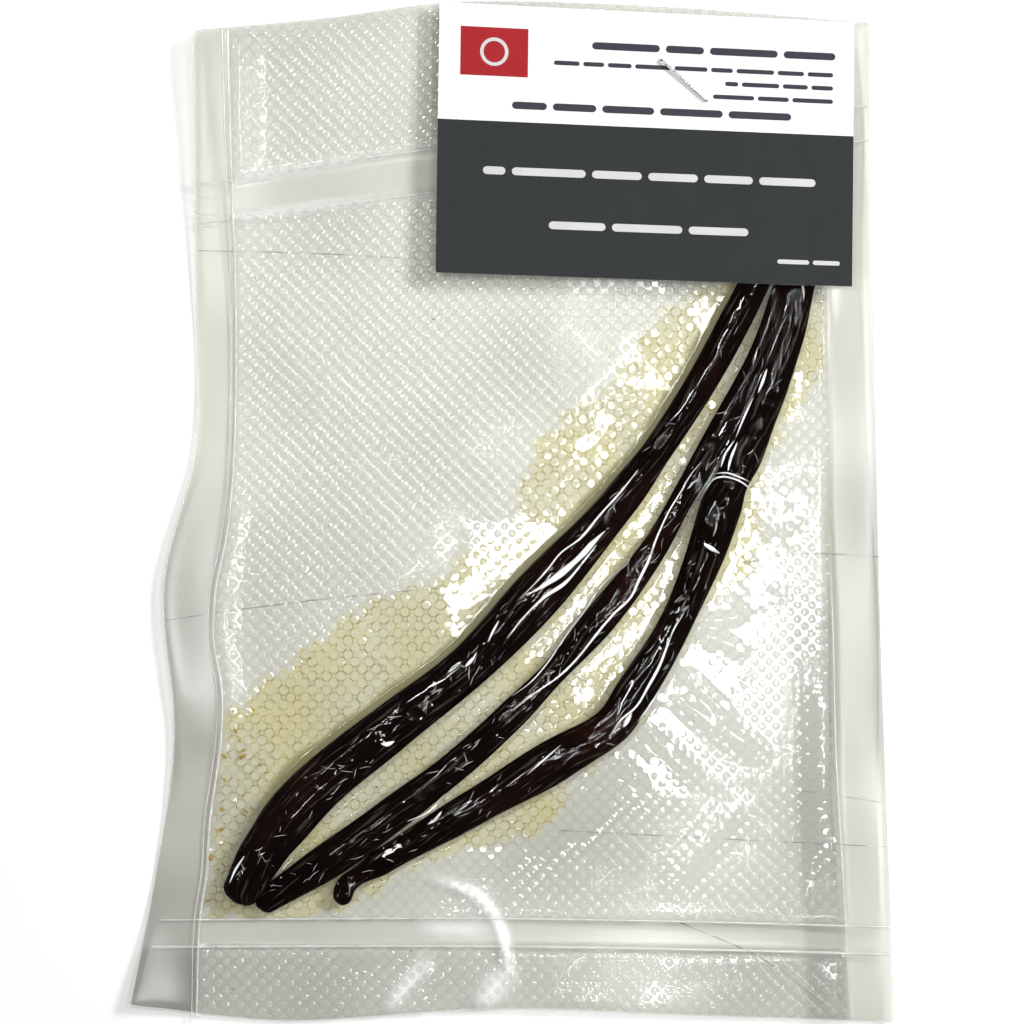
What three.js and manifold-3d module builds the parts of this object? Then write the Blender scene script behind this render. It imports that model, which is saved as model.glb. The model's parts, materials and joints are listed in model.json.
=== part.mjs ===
// A flat vacuum bag of clear embossed film, sealed round three cured vanilla pods, with a plain
// paper card stapled over its top edge. Millimetres, +Z up, the bag lying on its back.
//
// The bag is one closed solid: a thin sheet with crimped seal bands, and low film slopes that rise
// beside each pod. The pods lie in open channels of it, a small gap clear of the film.

import * as THREE from 'three';
import * as BufferGeometryUtils from 'three/addons/utils/BufferGeometryUtils.js';
import Module from 'manifold-3d';

const wasm = await Module();
wasm.setup();

// ---- Driving dimensions -------------------------------------------------------------------------

const GAP = 0.3; // between any two pieces that touch

// The bag's four edges, each with only the points its line needs. They share their corners.
const CORNER = {
  frontLeft: [-78.2, -100.9],
  frontRight: [78.2, -104.5],
  backLeft: [-65.1, 98.4],
  backRight: [73.1, 100.1],
};
const EDGE = {
  left: [CORNER.frontLeft, [-73.3, -75.6], [-69.2, -46.0], [-71.3, -15.0], [-65.1, 12.7],
    [-64.7, 45.6], CORNER.backLeft],
  right: [CORNER.frontRight, [76.2, -46.8], [74.9, -1.6], [73.5, 59.9], CORNER.backRight],
  front: [CORNER.frontLeft, [-48.2, -104.2], [-2.5, -101.8], [38.6, -103.2], CORNER.frontRight],
  back: [CORNER.backLeft, [-38.2, 101.0], [-12.0, 104.27], [26.3, 103.6], CORNER.backRight],
};

const SHEET = {
  pocket: 1.0, // height of the embossed pocket's upper face
  seal: 0.5, // thickness of the seal bands and the margins outside them
  floor: 0.6, // what is left of the sheet under a pod
  sideSeal: [0.066, 0.934], // share of the width where the side seals begin
  frontWeld: [0.066, 0.093], // share of the length that the front cross weld takes
  backWeld: [0.807, 0.846], // the same for the back weld, at the left edge
  backWeldSlant: 0.073, // how much further back the back weld lies at the right edge
};
// How the sheet curls off the table near its edges: reach is the share of the sheet that curls,
// rise the height at the edge itself and wave what that height gains and loses along the edge.
const CURL = {
  side: { reach: 0.16, rise: 1.3, wave: 0.9 },
  front: { reach: 0.16, rise: 1.0, wave: 0.5 },
  back: { reach: 0.2, rise: 2.3, wave: 0.1 },
};
const CELLS = { seal: 2, pocketAcross: 14, margin: 2, weld: 1, pocketAlong: 18 };

// Each pod: the line of its middle from the tip to the stem, and its width at shares of its length.
const PODS = {
  pod_left: {
    line: [[-56.8, -80.0], [-50.1, -68.4], [-40.6, -57.0], [-24.3, -43.7], [-8.7, -31.4],
      [6.0, -16.0], [22.3, 2.5], [35.3, 20.9], [44.2, 36.3], [53.4, 55.8], [56.3, 70.4]],
    width: [[0, 7.6], [0.065, 9.4], [0.11, 10.7], [0.2, 10.0], [0.35, 8.8], [0.46, 10.2],
      [0.6, 7.2], [0.67, 5.8], [0.82, 6.3], [1, 4.2]],
    ridge: 0.3,
  },
  pod_middle: {
    line: [[-52.3, -80.8], [-35.3, -69.8], [-22.5, -60.4], [-9.1, -49.9], [6.9, -34.5],
      [20.4, -19.1], [29.5, -6.8], [34.7, 2.5], [41.1, 13.6], [51.5, 34.1], [55.3, 46.1],
      [57.6, 57.5], [58.8, 67.8]],
    width: [[0, 5.6], [0.1, 7.6], [0.17, 7.3], [0.25, 6.3], [0.34, 6.0], [0.4, 5.0],
      [0.48, 6.5], [0.63, 4.5], [0.7, 5.4], [0.82, 4.2], [1, 3.0]],
    ridge: 1.9,
  },
  pod_right: {
    line: [[-34.9, -80.6], [-34.0, -76.6], [-28.0, -72.4], [-7.5, -60.3], [10.5, -49.8],
      [20.5, -43.6], [25.0, -37.0], [32.2, -25.3], [39.1, -9.9], [43.4, 2.8], [48.3, 13.6],
      [56.5, 34.1], [59.7, 46.1], [62.4, 58.0], [63.2, 66.5]],
    width: [[0, 3.8], [0.06, 5.2], [0.19, 7.4], [0.28, 9.0], [0.35, 7.6], [0.4, 7.7],
      [0.5, 6.5], [0.63, 8.5], [0.664, 7.0], [0.69, 7.7], [0.75, 6.5], [0.83, 5.3],
      [0.89, 4.4], [1, 3.0]],
    ridge: 4.1,
  },
};
const POD = {
  thin: 1.0, // a pod's thickness is this much
  thinShare: 0.42, // and this share of its width
  tip: 2.4, // length over which an end rounds off
  bluntness: 0.25, // the very end's share of the full width
  sides: 12,
  stations: 40,
  crowding: 0.62, // how much closer the stations stand at the ends, from 0 to 1
  ridges: 5, // lengthwise wrinkles round the pod
  ridgeDepth: 0.05,
  flatBack: 0.9, // the lower half is this much flatter than the upper one
};

const TENT = {
  reach: 3.4, // how far beside a pod its film slope starts
  sunk: 0.45, // the slope's foot lies this deep in the sheet
  shoulder: 1.3,
  lip: 0.55, // film left beside the pod at the slope's upper edge
  lowRise: 0.3, // shares of the pod's height at the shoulder and at the lip
  highRise: 0.62,
  past: 2.6, // how far the slope runs on past a pod's end
  pastSharpness: 15, // how late along the pod that running on begins
};

const CARD = {
  corners: { backLeft: [-14.8, 104.3], backRight: [70.0, 100.1],
    frontRight: [69.4, 46.0], frontLeft: [-15.6, 48.9] },
  thickness: 0.4,
  frontHeight: 4.95, // underside over the pods
  backHeight: 3.5, // underside at the bag's back edge
  bow: 0.35, // the middle of the card's width sags by this much
  cells: [8, 5],
};

const STAPLE = {
  from: [30.4, 92.4],
  to: [39.8, 84.0],
  onCard: [0.6, 0.745], // the crown's middle, in shares of the card's width and depth
  wire: 0.55,
  clenchHeight: 0.62, // the clenched ends, between the table and the bag's back
  clench: 4.2,
  hole: 1.2, // width of the hole each leg passes through
};

// ---- Curves and profiles ------------------------------------------------------------------------

function curveThrough(points) {
  const vectors = points.map(([x, y]) => new THREE.Vector3(x, y, 0));
  return new THREE.CatmullRomCurve3(vectors, false, 'centripetal');
}

// A value between the [share, value] pairs of a profile, eased so that the profile has no corners.
function profileAt(pairs, share) {
  let i = 1;
  while (i < pairs.length - 1 && share > pairs[i][0]) i += 1;
  const [s0, a] = pairs[i - 1];
  const [s1, b] = pairs[i];
  const t = THREE.MathUtils.clamp((share - s0) / (s1 - s0), 0, 1);
  return THREE.MathUtils.lerp(a, b, t * t * (3 - 2 * t));
}

// Splits the spans between the given stops into the given numbers of equal cells.
function splitSpans(stops, counts) {
  const values = [stops[0]];
  counts.forEach((count, i) => {
    for (let k = 1; k <= count; k += 1) {
      values.push(THREE.MathUtils.lerp(stops[i], stops[i + 1], k / count));
    }
  });
  return values;
}

// ---- Closed meshes ------------------------------------------------------------------------------

function geometryOf(points, triangles) {
  const geometry = new THREE.BufferGeometry();
  const flat = points.flatMap((p) => [p.x, p.y, p.z]);
  geometry.setAttribute('position', new THREE.Float32BufferAttribute(flat, 3));
  geometry.setIndex(triangles.flat());
  return geometry;
}

// A closed tube through rings of equally many points, each ring closed by a fan at the two ends.
function skinRings(rings) {
  const count = rings[0].length;
  const points = rings.flat();
  const triangles = [];
  for (let r = 0; r < rings.length - 1; r += 1) {
    for (let k = 0; k < count; k += 1) {
      const a = r * count + k;
      const b = r * count + ((k + 1) % count);
      triangles.push([a, b, b + count], [a, b + count, a + count]);
    }
  }
  [[0, true], [rings.length - 1, false]].forEach(([r, first]) => {
    const middle = rings[r].reduce((sum, p) => sum.add(p), new THREE.Vector3()).divideScalar(count);
    const hub = points.push(middle) - 1;
    for (let k = 0; k < count; k += 1) {
      const a = r * count + k;
      const b = r * count + ((k + 1) % count);
      triangles.push(first ? [hub, b, a] : [hub, a, b]);
    }
  });
  return geometryOf(points, triangles);
}

// A closed sheet from two grids of points, the upper face and the lower one.
function skinSheet(upper, lower) {
  const rows = upper.length;
  const columns = upper[0].length;
  const points = [...upper.flat(), ...lower.flat()];
  const under = rows * columns;
  const at = (r, c) => r * columns + c;
  const triangles = [];
  for (let r = 0; r < rows - 1; r += 1) {
    for (let c = 0; c < columns - 1; c += 1) {
      const [a, b, d, e] = [at(r, c), at(r, c + 1), at(r + 1, c + 1), at(r + 1, c)];
      triangles.push([a, b, d], [a, d, e], [b + under, a + under, d + under]);
      triangles.push([d + under, a + under, e + under]);
    }
  }
  const rim = [];
  for (let c = 0; c < columns - 1; c += 1) rim.push(at(0, c));
  for (let r = 0; r < rows - 1; r += 1) rim.push(at(r, columns - 1));
  for (let c = columns - 1; c > 0; c -= 1) rim.push(at(rows - 1, c));
  for (let r = rows - 1; r > 0; r -= 1) rim.push(at(r, 0));
  rim.forEach((a, i) => {
    const b = rim[(i + 1) % rim.length];
    triangles.push([a, a + under, b + under], [a, b + under, b]);
  });
  return geometryOf(points, triangles);
}

function toSolid(geometry) {
  const bare = geometry.clone();
  bare.deleteAttribute('normal');
  bare.deleteAttribute('uv');
  const merged = BufferGeometryUtils.mergeVertices(bare, 1e-4);
  return new wasm.Manifold(new wasm.Mesh({
    numProp: 3,
    vertProperties: new Float32Array(merged.attributes.position.array),
    triVerts: new Uint32Array(merged.index.array),
  }));
}

// The largest single body of a solid, as a geometry.
function toGeometry(solid) {
  const bodies = solid.decompose().sort((a, b) => b.volume() - a.volume());
  const mesh = bodies[0].getMesh();
  const geometry = new THREE.BufferGeometry();
  geometry.setAttribute('position', new THREE.Float32BufferAttribute(mesh.vertProperties, 3));
  geometry.setIndex([...mesh.triVerts]);
  geometry.computeVertexNormals();
  return geometry;
}

// ---- Pods ---------------------------------------------------------------------------------------

const podFloor = SHEET.floor + GAP;

function podThickness(width) {
  return POD.thin + POD.thinShare * width;
}

// Rings along a pod's line. ringOf(width, tipShare, share) gives one ring as [across, up] pairs.
// Stations crowd together at both ends; past runs the line on beyond them.
function ringsAlong(pod, past, ringOf) {
  const curve = curveThrough(pod.line);
  const length = curve.getLength();
  const rings = [];
  for (let i = 0; i <= POD.stations; i += 1) {
    const even = i / POD.stations;
    const share = even - (POD.crowding * Math.sin(2 * Math.PI * even)) / (2 * Math.PI);
    const middle = curve.getPointAt(share);
    const tangent = curve.getTangentAt(share);
    middle.addScaledVector(tangent, past * (2 * share - 1) ** TENT.pastSharpness);
    const across = new THREE.Vector3(-tangent.y, tangent.x, 0);
    const toEnd = Math.min(share, 1 - share) * length;
    const width = profileAt(pod.width, share);
    rings.push(ringOf(width, toEnd, share).map(([side, up]) => (
      middle.clone().addScaledVector(across, side).setZ(up))));
  }
  return rings;
}

// An end's roundness: small at the very end, 1 from one tip length inwards.
function tipScale(toEnd) {
  const t = Math.min(toEnd / POD.tip, 1);
  return Math.max(Math.sqrt(1 - (1 - t) ** 2), POD.bluntness);
}

function tipThickness(width, round) {
  return podThickness(width) * THREE.MathUtils.lerp(POD.bluntness, 1, round);
}

// A pod's own surface, or the same surface grown by extra on every side.
function podGeometry(pod, extra) {
  const rings = ringsAlong(pod, extra, (width, toEnd, share) => {
    const round = tipScale(toEnd);
    const halfWidth = (width / 2) * round + extra;
    const halfHeight = tipThickness(width, round) / 2 + extra;
    const rise = podFloor + halfHeight - extra;
    const ring = [];
    for (let k = 0; k < POD.sides; k += 1) {
      const angle = (2 * Math.PI * k) / POD.sides;
      const wave = Math.cos(POD.ridges * angle + pod.ridge + 3 * share);
      const reach = 1 - POD.ridgeDepth * (extra > 0 ? 0 : 0.5 - 0.5 * wave);
      const flat = Math.sin(angle) < 0 ? POD.flatBack : 1;
      const up = halfHeight * flat * Math.sin(angle);
      ring.push([halfWidth * reach * Math.cos(angle), rise + reach * up]);
    }
    return ring;
  });
  return skinRings(rings);
}

// The film's slope beside a pod: low at its outer foot, steep at the pod's side.
function tentGeometry(pod) {
  const rings = ringsAlong(pod, TENT.past, (width, toEnd) => {
    const round = tipScale(toEnd);
    const half = (width / 2) * round;
    const height = tipThickness(width, round);
    const side = [
      [half + TENT.reach, SHEET.pocket - TENT.sunk],
      [half + TENT.shoulder, podFloor + TENT.lowRise * height],
      [half + TENT.lip, podFloor + TENT.highRise * height],
    ];
    const mirrored = side.map(([x, z]) => [-x, z]).reverse();
    return [...side, ...mirrored];
  });
  return skinRings(rings);
}

// ---- Bag ----------------------------------------------------------------------------------------

const edgeCurves = Object.fromEntries(
  Object.entries(EDGE).map(([name, points]) => [name, curveThrough(points)]),
);

// A point of the bag's outline patch, blended from its four edges.
function patchPoint(u, v) {
  const corner = (name, share) => new THREE.Vector3(...CORNER[name], 0).multiplyScalar(share);
  return new THREE.Vector3()
    .addScaledVector(edgeCurves.left.getPoint(v), 1 - u)
    .addScaledVector(edgeCurves.right.getPoint(v), u)
    .addScaledVector(edgeCurves.front.getPoint(u), 1 - v)
    .addScaledVector(edgeCurves.back.getPoint(u), v)
    .sub(corner('frontLeft', (1 - u) * (1 - v)))
    .sub(corner('frontRight', u * (1 - v)))
    .sub(corner('backLeft', (1 - u) * v))
    .sub(corner('backRight', u * v));
}

// How far the sheet curls off the table at a point of the patch.
function liftAt(u, v) {
  const curl = ({ reach, rise, wave }, share, turn) => (
    Math.max(0, 1 - share / reach) ** 1.5 * (rise + wave * Math.sin(turn)));
  return curl(CURL.side, Math.min(u, 1 - u), 11 * v + 4 * u + 2.8)
    + curl(CURL.front, v, 9 * u + 2.4)
    + curl(CURL.back, 1 - v, 9 * u);
}

function sheetGeometry() {
  const [sealLeft, sealRight] = SHEET.sideSeal;
  const across = splitSpans(
    [0, sealLeft, sealLeft + 0.012, sealRight - 0.012, sealRight, 1],
    [CELLS.seal, 1, CELLS.pocketAcross, 1, CELLS.seal],
  );
  const alongCounts = [CELLS.margin, CELLS.weld, 1, CELLS.pocketAlong, 1, CELLS.weld, CELLS.margin];
  const rowCount = alongCounts.reduce((sum, count) => sum + count, 1);
  const isPocket = (u, row, rows) => u > sealLeft && u < sealRight && row > 3 && row < rows - 4;
  const upper = [];
  const lower = [];
  for (let r = 0; r < rowCount; r += 1) {
    const rowAbove = [];
    const rowBelow = [];
    across.forEach((u) => {
      const slant = SHEET.backWeldSlant * u;
      const stops = [0, ...SHEET.frontWeld, SHEET.frontWeld[1] + 0.01,
        SHEET.backWeld[0] + slant - 0.01, SHEET.backWeld[0] + slant, SHEET.backWeld[1] + slant, 1];
      const v = splitSpans(stops, alongCounts)[r];
      const point = patchPoint(u, v);
      const lift = liftAt(u, v);
      const thickness = isPocket(u, r, rowCount) ? SHEET.pocket : SHEET.seal;
      rowBelow.push(point.clone().setZ(lift));
      rowAbove.push(point.clone().setZ(lift + thickness));
    });
    upper.push(rowAbove);
    lower.push(rowBelow);
  }
  return skinSheet(upper, lower);
}

// ---- Card and staple ----------------------------------------------------------------------------

// A point on the card's underside: s runs from left to right, t from front to back.
function cardPoint(s, t) {
  const at = (name) => new THREE.Vector2(...CARD.corners[name]);
  const front = at('frontLeft').lerp(at('frontRight'), s);
  const back = at('backLeft').lerp(at('backRight'), s);
  const place = front.lerp(back, t);
  const height = THREE.MathUtils.lerp(CARD.frontHeight, CARD.backHeight, t);
  return new THREE.Vector3(place.x, place.y, height - CARD.bow * Math.sin(Math.PI * s));
}

function cardGeometry() {
  const [columns, rows] = CARD.cells;
  const lower = [];
  for (let r = 0; r <= rows; r += 1) {
    const row = [];
    for (let c = 0; c <= columns; c += 1) row.push(cardPoint(c / columns, r / rows));
    lower.push(row);
  }
  const upper = lower.map((row) => row.map((p) => p.clone().setZ(p.z + CARD.thickness)));
  return skinSheet(upper, lower);
}

// A square bar between two points, its section kept upright.
function bar(from, to, size) {
  const length = from.distanceTo(to);
  const geometry = new THREE.BoxGeometry(length, size, size);
  const turn = new THREE.Quaternion().setFromUnitVectors(
    new THREE.Vector3(1, 0, 0),
    to.clone().sub(from).normalize(),
  );
  geometry.applyQuaternion(turn);
  const middle = from.clone().add(to).divideScalar(2);
  return geometry.translate(middle.x, middle.y, middle.z);
}

const stapleAlong = new THREE.Vector3(
  STAPLE.to[0] - STAPLE.from[0],
  STAPLE.to[1] - STAPLE.from[1],
  0,
).normalize();
const stapleTop = cardPoint(...STAPLE.onCard).z + CARD.thickness + GAP + STAPLE.wire / 2;

function stapleEnds() {
  return [STAPLE.from, STAPLE.to].map(([x, y]) => new THREE.Vector3(x, y, stapleTop));
}

// The staple's wire: a crown on the card, two legs and two ends bent in under the bag.
function stapleSolid() {
  const [from, to] = stapleEnds();
  const half = stapleAlong.clone().multiplyScalar(STAPLE.wire / 2);
  const parts = [bar(from.clone().sub(half), to.clone().add(half), STAPLE.wire)];
  [[from, 1], [to, -1]].forEach(([end, sign]) => {
    const foot = end.clone().setZ(STAPLE.clenchHeight);
    parts.push(bar(end, foot.clone().setZ(foot.z - STAPLE.wire / 2), STAPLE.wire));
    const inwards = foot.clone().addScaledVector(stapleAlong, sign * STAPLE.clench);
    parts.push(bar(foot, inwards, STAPLE.wire));
  });
  return parts.map(toSolid).reduce((solid, next) => solid.add(next));
}

// The two holes that the staple's legs pass through, deep enough for card and bag.
function stapleHoles() {
  return stapleEnds().map((end) => {
    const below = end.clone().setZ(-1);
    return toSolid(bar(end, below, STAPLE.hole));
  }).reduce((solid, next) => solid.add(next));
}

// ---- Assembly -----------------------------------------------------------------------------------

const pods = Object.entries(PODS);
const grown = Object.fromEntries(pods.map(([name, pod]) => (
  [name, toSolid(podGeometry(pod, GAP))])));
const holes = stapleHoles();

function bagSolid() {
  let solid = toSolid(sheetGeometry());
  pods.forEach(([, pod]) => {
    solid = solid.add(toSolid(tentGeometry(pod)));
  });
  pods.forEach(([name]) => {
    solid = solid.subtract(grown[name]);
  });
  return solid.subtract(holes);
}

// A pod is pressed flat where it meets the pods that were laid down before it.
function podSolid(index) {
  const solid = toSolid(podGeometry(pods[index][1], 0));
  return pods.slice(0, index).reduce((left, [name]) => left.subtract(grown[name]), solid);
}

const film = new THREE.MeshStandardMaterial({
  color: 0xd9dad6, roughness: 0.15, metalness: 0, transparent: true, opacity: 0.5,
});
const skin = new THREE.MeshStandardMaterial({ color: 0x24110c, roughness: 0.4, metalness: 0 });
const board = new THREE.MeshStandardMaterial({ color: 0x4a4c4e, roughness: 0.6, metalness: 0 });
const steel = new THREE.MeshStandardMaterial({ color: 0xa8abad, roughness: 0.3, metalness: 1 });

const pack = new THREE.Group();

function addPiece(name, geometry, material) {
  const mesh = new THREE.Mesh(geometry, material);
  mesh.name = name;
  pack.add(mesh);
}

addPiece('bag', toGeometry(bagSolid()), film);
pods.forEach(([name], index) => {
  addPiece(name, toGeometry(podSolid(index)), skin);
});
addPiece('card', toGeometry(toSolid(cardGeometry()).subtract(holes)), board);
addPiece('staple', toGeometry(stapleSolid()), steel);

export default pack;
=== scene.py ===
"""The looks of a vacuum bag of vanilla pods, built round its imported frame.

The bag is two sheets of clear film: a smooth front sheet drawn down over three cured pods, and an
embossed back sheet with small round pads, stained by the pods' oil. A plain card is stapled over
the bag's top edge. Sizes in the classes are millimetres; meshes are metres, in the frame's axes.
"""

from __future__ import annotations

import json
import logging
import math
from dataclasses import dataclass, field, replace
from enum import Enum

import bpy
import numpy as np
from bpy.types import Material, Node, NodeSocket, Object
from mathutils import Matrix, Vector
from mathutils.bvhtree import BVHTree

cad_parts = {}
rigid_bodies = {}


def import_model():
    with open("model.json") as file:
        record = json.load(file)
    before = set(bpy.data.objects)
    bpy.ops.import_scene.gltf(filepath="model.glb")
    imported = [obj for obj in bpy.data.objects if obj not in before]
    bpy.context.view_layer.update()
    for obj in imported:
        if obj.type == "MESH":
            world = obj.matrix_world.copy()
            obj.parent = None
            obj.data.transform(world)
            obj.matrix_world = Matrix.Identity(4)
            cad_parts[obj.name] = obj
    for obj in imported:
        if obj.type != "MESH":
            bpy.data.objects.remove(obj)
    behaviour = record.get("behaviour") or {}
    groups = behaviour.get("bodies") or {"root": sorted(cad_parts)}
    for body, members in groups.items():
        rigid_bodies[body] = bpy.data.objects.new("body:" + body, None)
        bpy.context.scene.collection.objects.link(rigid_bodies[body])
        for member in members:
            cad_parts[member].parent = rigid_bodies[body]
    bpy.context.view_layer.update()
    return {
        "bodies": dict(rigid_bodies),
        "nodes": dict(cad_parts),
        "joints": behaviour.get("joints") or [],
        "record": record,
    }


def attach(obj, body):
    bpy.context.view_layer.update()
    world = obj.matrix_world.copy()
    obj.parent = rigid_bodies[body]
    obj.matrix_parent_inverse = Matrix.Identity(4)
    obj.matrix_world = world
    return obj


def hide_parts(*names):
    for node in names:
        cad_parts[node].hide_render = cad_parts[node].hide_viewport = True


LOG = logging.getLogger("vanilla_pack")
MM = 0.001
OVERHEAD = 0.05  # metres: rays start here, above the pack
NOWHERE = -10.0  # millimetres: the height where no pod lies
CURVE_STEPS = 60
Array = np.ndarray
Point = tuple[float, float]
Pairs = tuple[Point, ...]
Triple = tuple[float, float, float]


# ---- Curves, fields and meshes ------------------------------------------------------------------


def way(*numbers: float) -> Pairs:
    """Pairs of x and y from a flat row of numbers."""
    return tuple(zip(numbers[::2], numbers[1::2]))


def resample(points: Array, count: int) -> Array:
    """The line through the points as a number of evenly spaced points."""
    run = np.concatenate([[0], np.cumsum(np.linalg.norm(np.diff(points, axis=0), axis=1))])
    return np.column_stack([np.interp(np.linspace(0, run[-1], count), run, p) for p in points.T])


def spline(points: Pairs, count: int) -> Array:
    """A centripetal curve through the points, as evenly spaced samples.

    Args:
        points: the points that the curve passes through.
        count: how many samples to return.

    Returns:
        An array of count rows of x and y.
    """
    pts = np.array(points, float)
    pts = np.vstack([2 * pts[0] - pts[1], pts, 2 * pts[-1] - pts[-2]])
    steps = np.sqrt(np.linalg.norm(np.diff(pts, axis=0), axis=1))
    t = np.linspace(0, 1, CURVE_STEPS, endpoint=False)[:, None]
    pieces = []
    for i in range(1, len(pts) - 2):
        p0, p1, p2, p3 = pts[i - 1 : i + 3]
        d0, d1, d2 = steps[i - 1 : i + 2]
        m1 = d1 * ((p1 - p0) / d0 - (p2 - p0) / (d0 + d1) + (p2 - p1) / d1)
        m2 = d1 * ((p2 - p1) / d1 - (p3 - p1) / (d1 + d2) + (p3 - p2) / d2)
        bend = -3 * p1 + 3 * p2 - 2 * m1 - m2
        pieces.append(p1 + m1 * t + bend * t**2 + (2 * p1 - 2 * p2 + m1 + m2) * t**3)
    return resample(np.vstack([*pieces, pts[-2][None]]), count)


def smoothstep(low: float, high: float, value: Array) -> Array:
    """Rises smoothly from 0 at low to 1 at high."""
    t = np.clip((value - low) / (high - low), 0, 1)
    return t * t * (3 - 2 * t)


def profile(pairs: Pairs, share: Array) -> Array:
    """Reads a table, eased between its rows.

    Args:
        pairs: the table's rows of share and value.
        share: the shares to read it at.

    Returns:
        The value at each share.
    """
    stops, values = np.array(pairs, float).T
    i = np.clip(np.searchsorted(stops, share) - 1, 0, len(stops) - 2)
    t = np.clip((share - stops[i]) / (stops[i + 1] - stops[i]), 0, 1)
    return values[i] + (values[i + 1] - values[i]) * t * t * (3 - 2 * t)


def x_at(line: Pairs, y: Array) -> Array:
    """The x of a line that runs up the bag, at each y."""
    return np.interp(y, *np.array(line).T[::-1])


def beside_line(places: Array, line: Array) -> tuple[Array, Array]:
    """Where each place lies beside a line of straight stretches.

    Args:
        places: an array whose last axis is x and y.
        line: the line's points.

    Returns:
        The distance of each place, above 0 on the line's left, and the share of the line's
        length at its nearest point.
    """
    best = np.full(places.shape[:-1], np.inf)
    side = np.ones(places.shape[:-1])
    share = np.zeros(places.shape[:-1])
    sizes = np.linalg.norm(np.diff(line, axis=0), axis=1)
    starts = np.concatenate([[0], np.cumsum(sizes)])
    for a, b, start, size in zip(line[:-1], line[1:], starts, sizes):
        along = (b - a) / size
        off = places - a
        run = np.clip(off @ along, 0, size)
        gap = np.linalg.norm(off - run[..., None] * along, axis=-1)
        nearer = gap < best
        best = np.where(nearer, gap, best)
        side = np.where(nearer, np.sign(along[0] * off[..., 1] - along[1] * off[..., 0]), side)
        share = np.where(nearer, (start + run) / starts[-1], share)
    return best * side, share


def inside_outline(places: Array, outline: Array) -> Array:
    """Tests places by the even-odd rule.

    Args:
        places: an array whose last axis is x and y.
        outline: the points of a closed outline.

    Returns:
        Whether each place lies inside.
    """
    x, y = places[..., 0], places[..., 1]
    inside = np.zeros(x.shape, bool)
    for (ax, ay), (bx, by) in zip(outline, np.roll(outline, -1, axis=0)):
        crosses = (ay > y) != (by > y)
        with np.errstate(divide="ignore", invalid="ignore"):
            inside ^= crosses & (x < (bx - ax) * (y - ay) / (by - ay) + ax)
    return inside


def neighbour_mean(values: Array) -> Array:
    """The mean of each value's four neighbours in a grid."""
    padded = np.pad(values, 1, mode="edge")
    return (padded[:-2, 1:-1] + padded[2:, 1:-1] + padded[1:-1, :-2] + padded[1:-1, 2:]) / 4


def soften(values: Array, rounds: int) -> Array:
    """Averages a grid of values with their neighbours.

    Args:
        values: the grid.
        rounds: how many times it is averaged.

    Returns:
        The softened grid.
    """
    for _ in range(rounds):
        values = (values + neighbour_mean(values)) / 2
    return values


def waves(seed: int, x: Array, y: Array, lengths: Point, count: int = 9) -> Array:
    """A soft random field: the sum of a few plane waves in random directions.

    Args:
        seed: fixes the random draw.
        x: across positions.
        y: along positions.
        lengths: the shortest and the longest wave.
        count: how many waves are added.

    Returns:
        The field, mostly between -1 and 1.
    """
    draw = np.random.default_rng(seed)
    total = np.zeros_like(x, float)
    for _ in range(count):
        turn, phase = draw.uniform(0, 2 * math.pi, 2)
        size = 2 * math.pi / draw.uniform(*lengths)
        total += np.cos(size * (x * math.cos(turn) + y * math.sin(turn)) + phase)
    return total / math.sqrt(count)


def link(name: str, data: bpy.types.ID) -> Object:
    """A new object of the scene, at the origin.

    Args:
        name: the object's name.
        data: its mesh, lamp or camera.

    Returns:
        The object.
    """
    obj = bpy.data.objects.new(name, data)
    bpy.context.scene.collection.objects.link(obj)
    return obj


def make_mesh(
    name: str,
    points: Array,
    faces: list | Array,
    materials: tuple[Material, ...],
    slots: list[int] | None = None,
) -> Object:
    """Makes a mesh object from points in millimetres.

    Args:
        name: the object's name.
        points: rows of x, y and z in millimetres.
        faces: rows of point numbers, counter-clockwise from outside.
        materials: the object's material slots.
        slots: each face's slot, for a piece of flat faces; without them it is shaded smooth.

    Returns:
        The object, linked to the scene.
    """
    mesh = bpy.data.meshes.new(name)
    rows = faces.tolist() if isinstance(faces, Array) else faces
    mesh.from_pydata((np.asarray(points, float) * MM).tolist(), [], rows)
    mesh.polygons.foreach_set("use_smooth", [slots is None] * len(rows))
    for material in materials:
        mesh.materials.append(material)
    if slots is not None:
        mesh.polygons.foreach_set("material_index", slots)
    mesh.update()
    return link(name, mesh)


def grid_faces(rows: int, columns: int, wrap: bool = False) -> Array:
    """Quads over a grid of points that are stored row by row.

    Args:
        rows: the grid's rows.
        columns: its columns.
        wrap: whether the last column is joined to the first.

    Returns:
        Rows of four point numbers.
    """
    r = np.arange(rows - 1)[:, None]
    c = np.arange(columns if wrap else columns - 1)[None]
    right = (c + 1) % columns
    quads = [r * columns + c, r * columns + right, (r + 1) * columns + right, (r + 1) * columns + c]
    return np.stack(np.broadcast_arrays(*quads), axis=-1).reshape(-1, 4)


def add_field(obj: Object, name: str, values: Array) -> None:
    """Stores one number for each point of a mesh under a name that its material can read."""
    attribute = obj.data.attributes.new(name, "FLOAT", "POINT")
    attribute.data.foreach_set("value", np.asarray(values, np.float32).ravel())


def surface_tree(obj: Object) -> BVHTree:
    """A search tree over an object's faces."""
    places = [tuple(v.co) for v in obj.data.vertices]
    return BVHTree.FromPolygons(places, [tuple(p.vertices) for p in obj.data.polygons])


# ---- Node trees ---------------------------------------------------------------------------------


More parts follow.
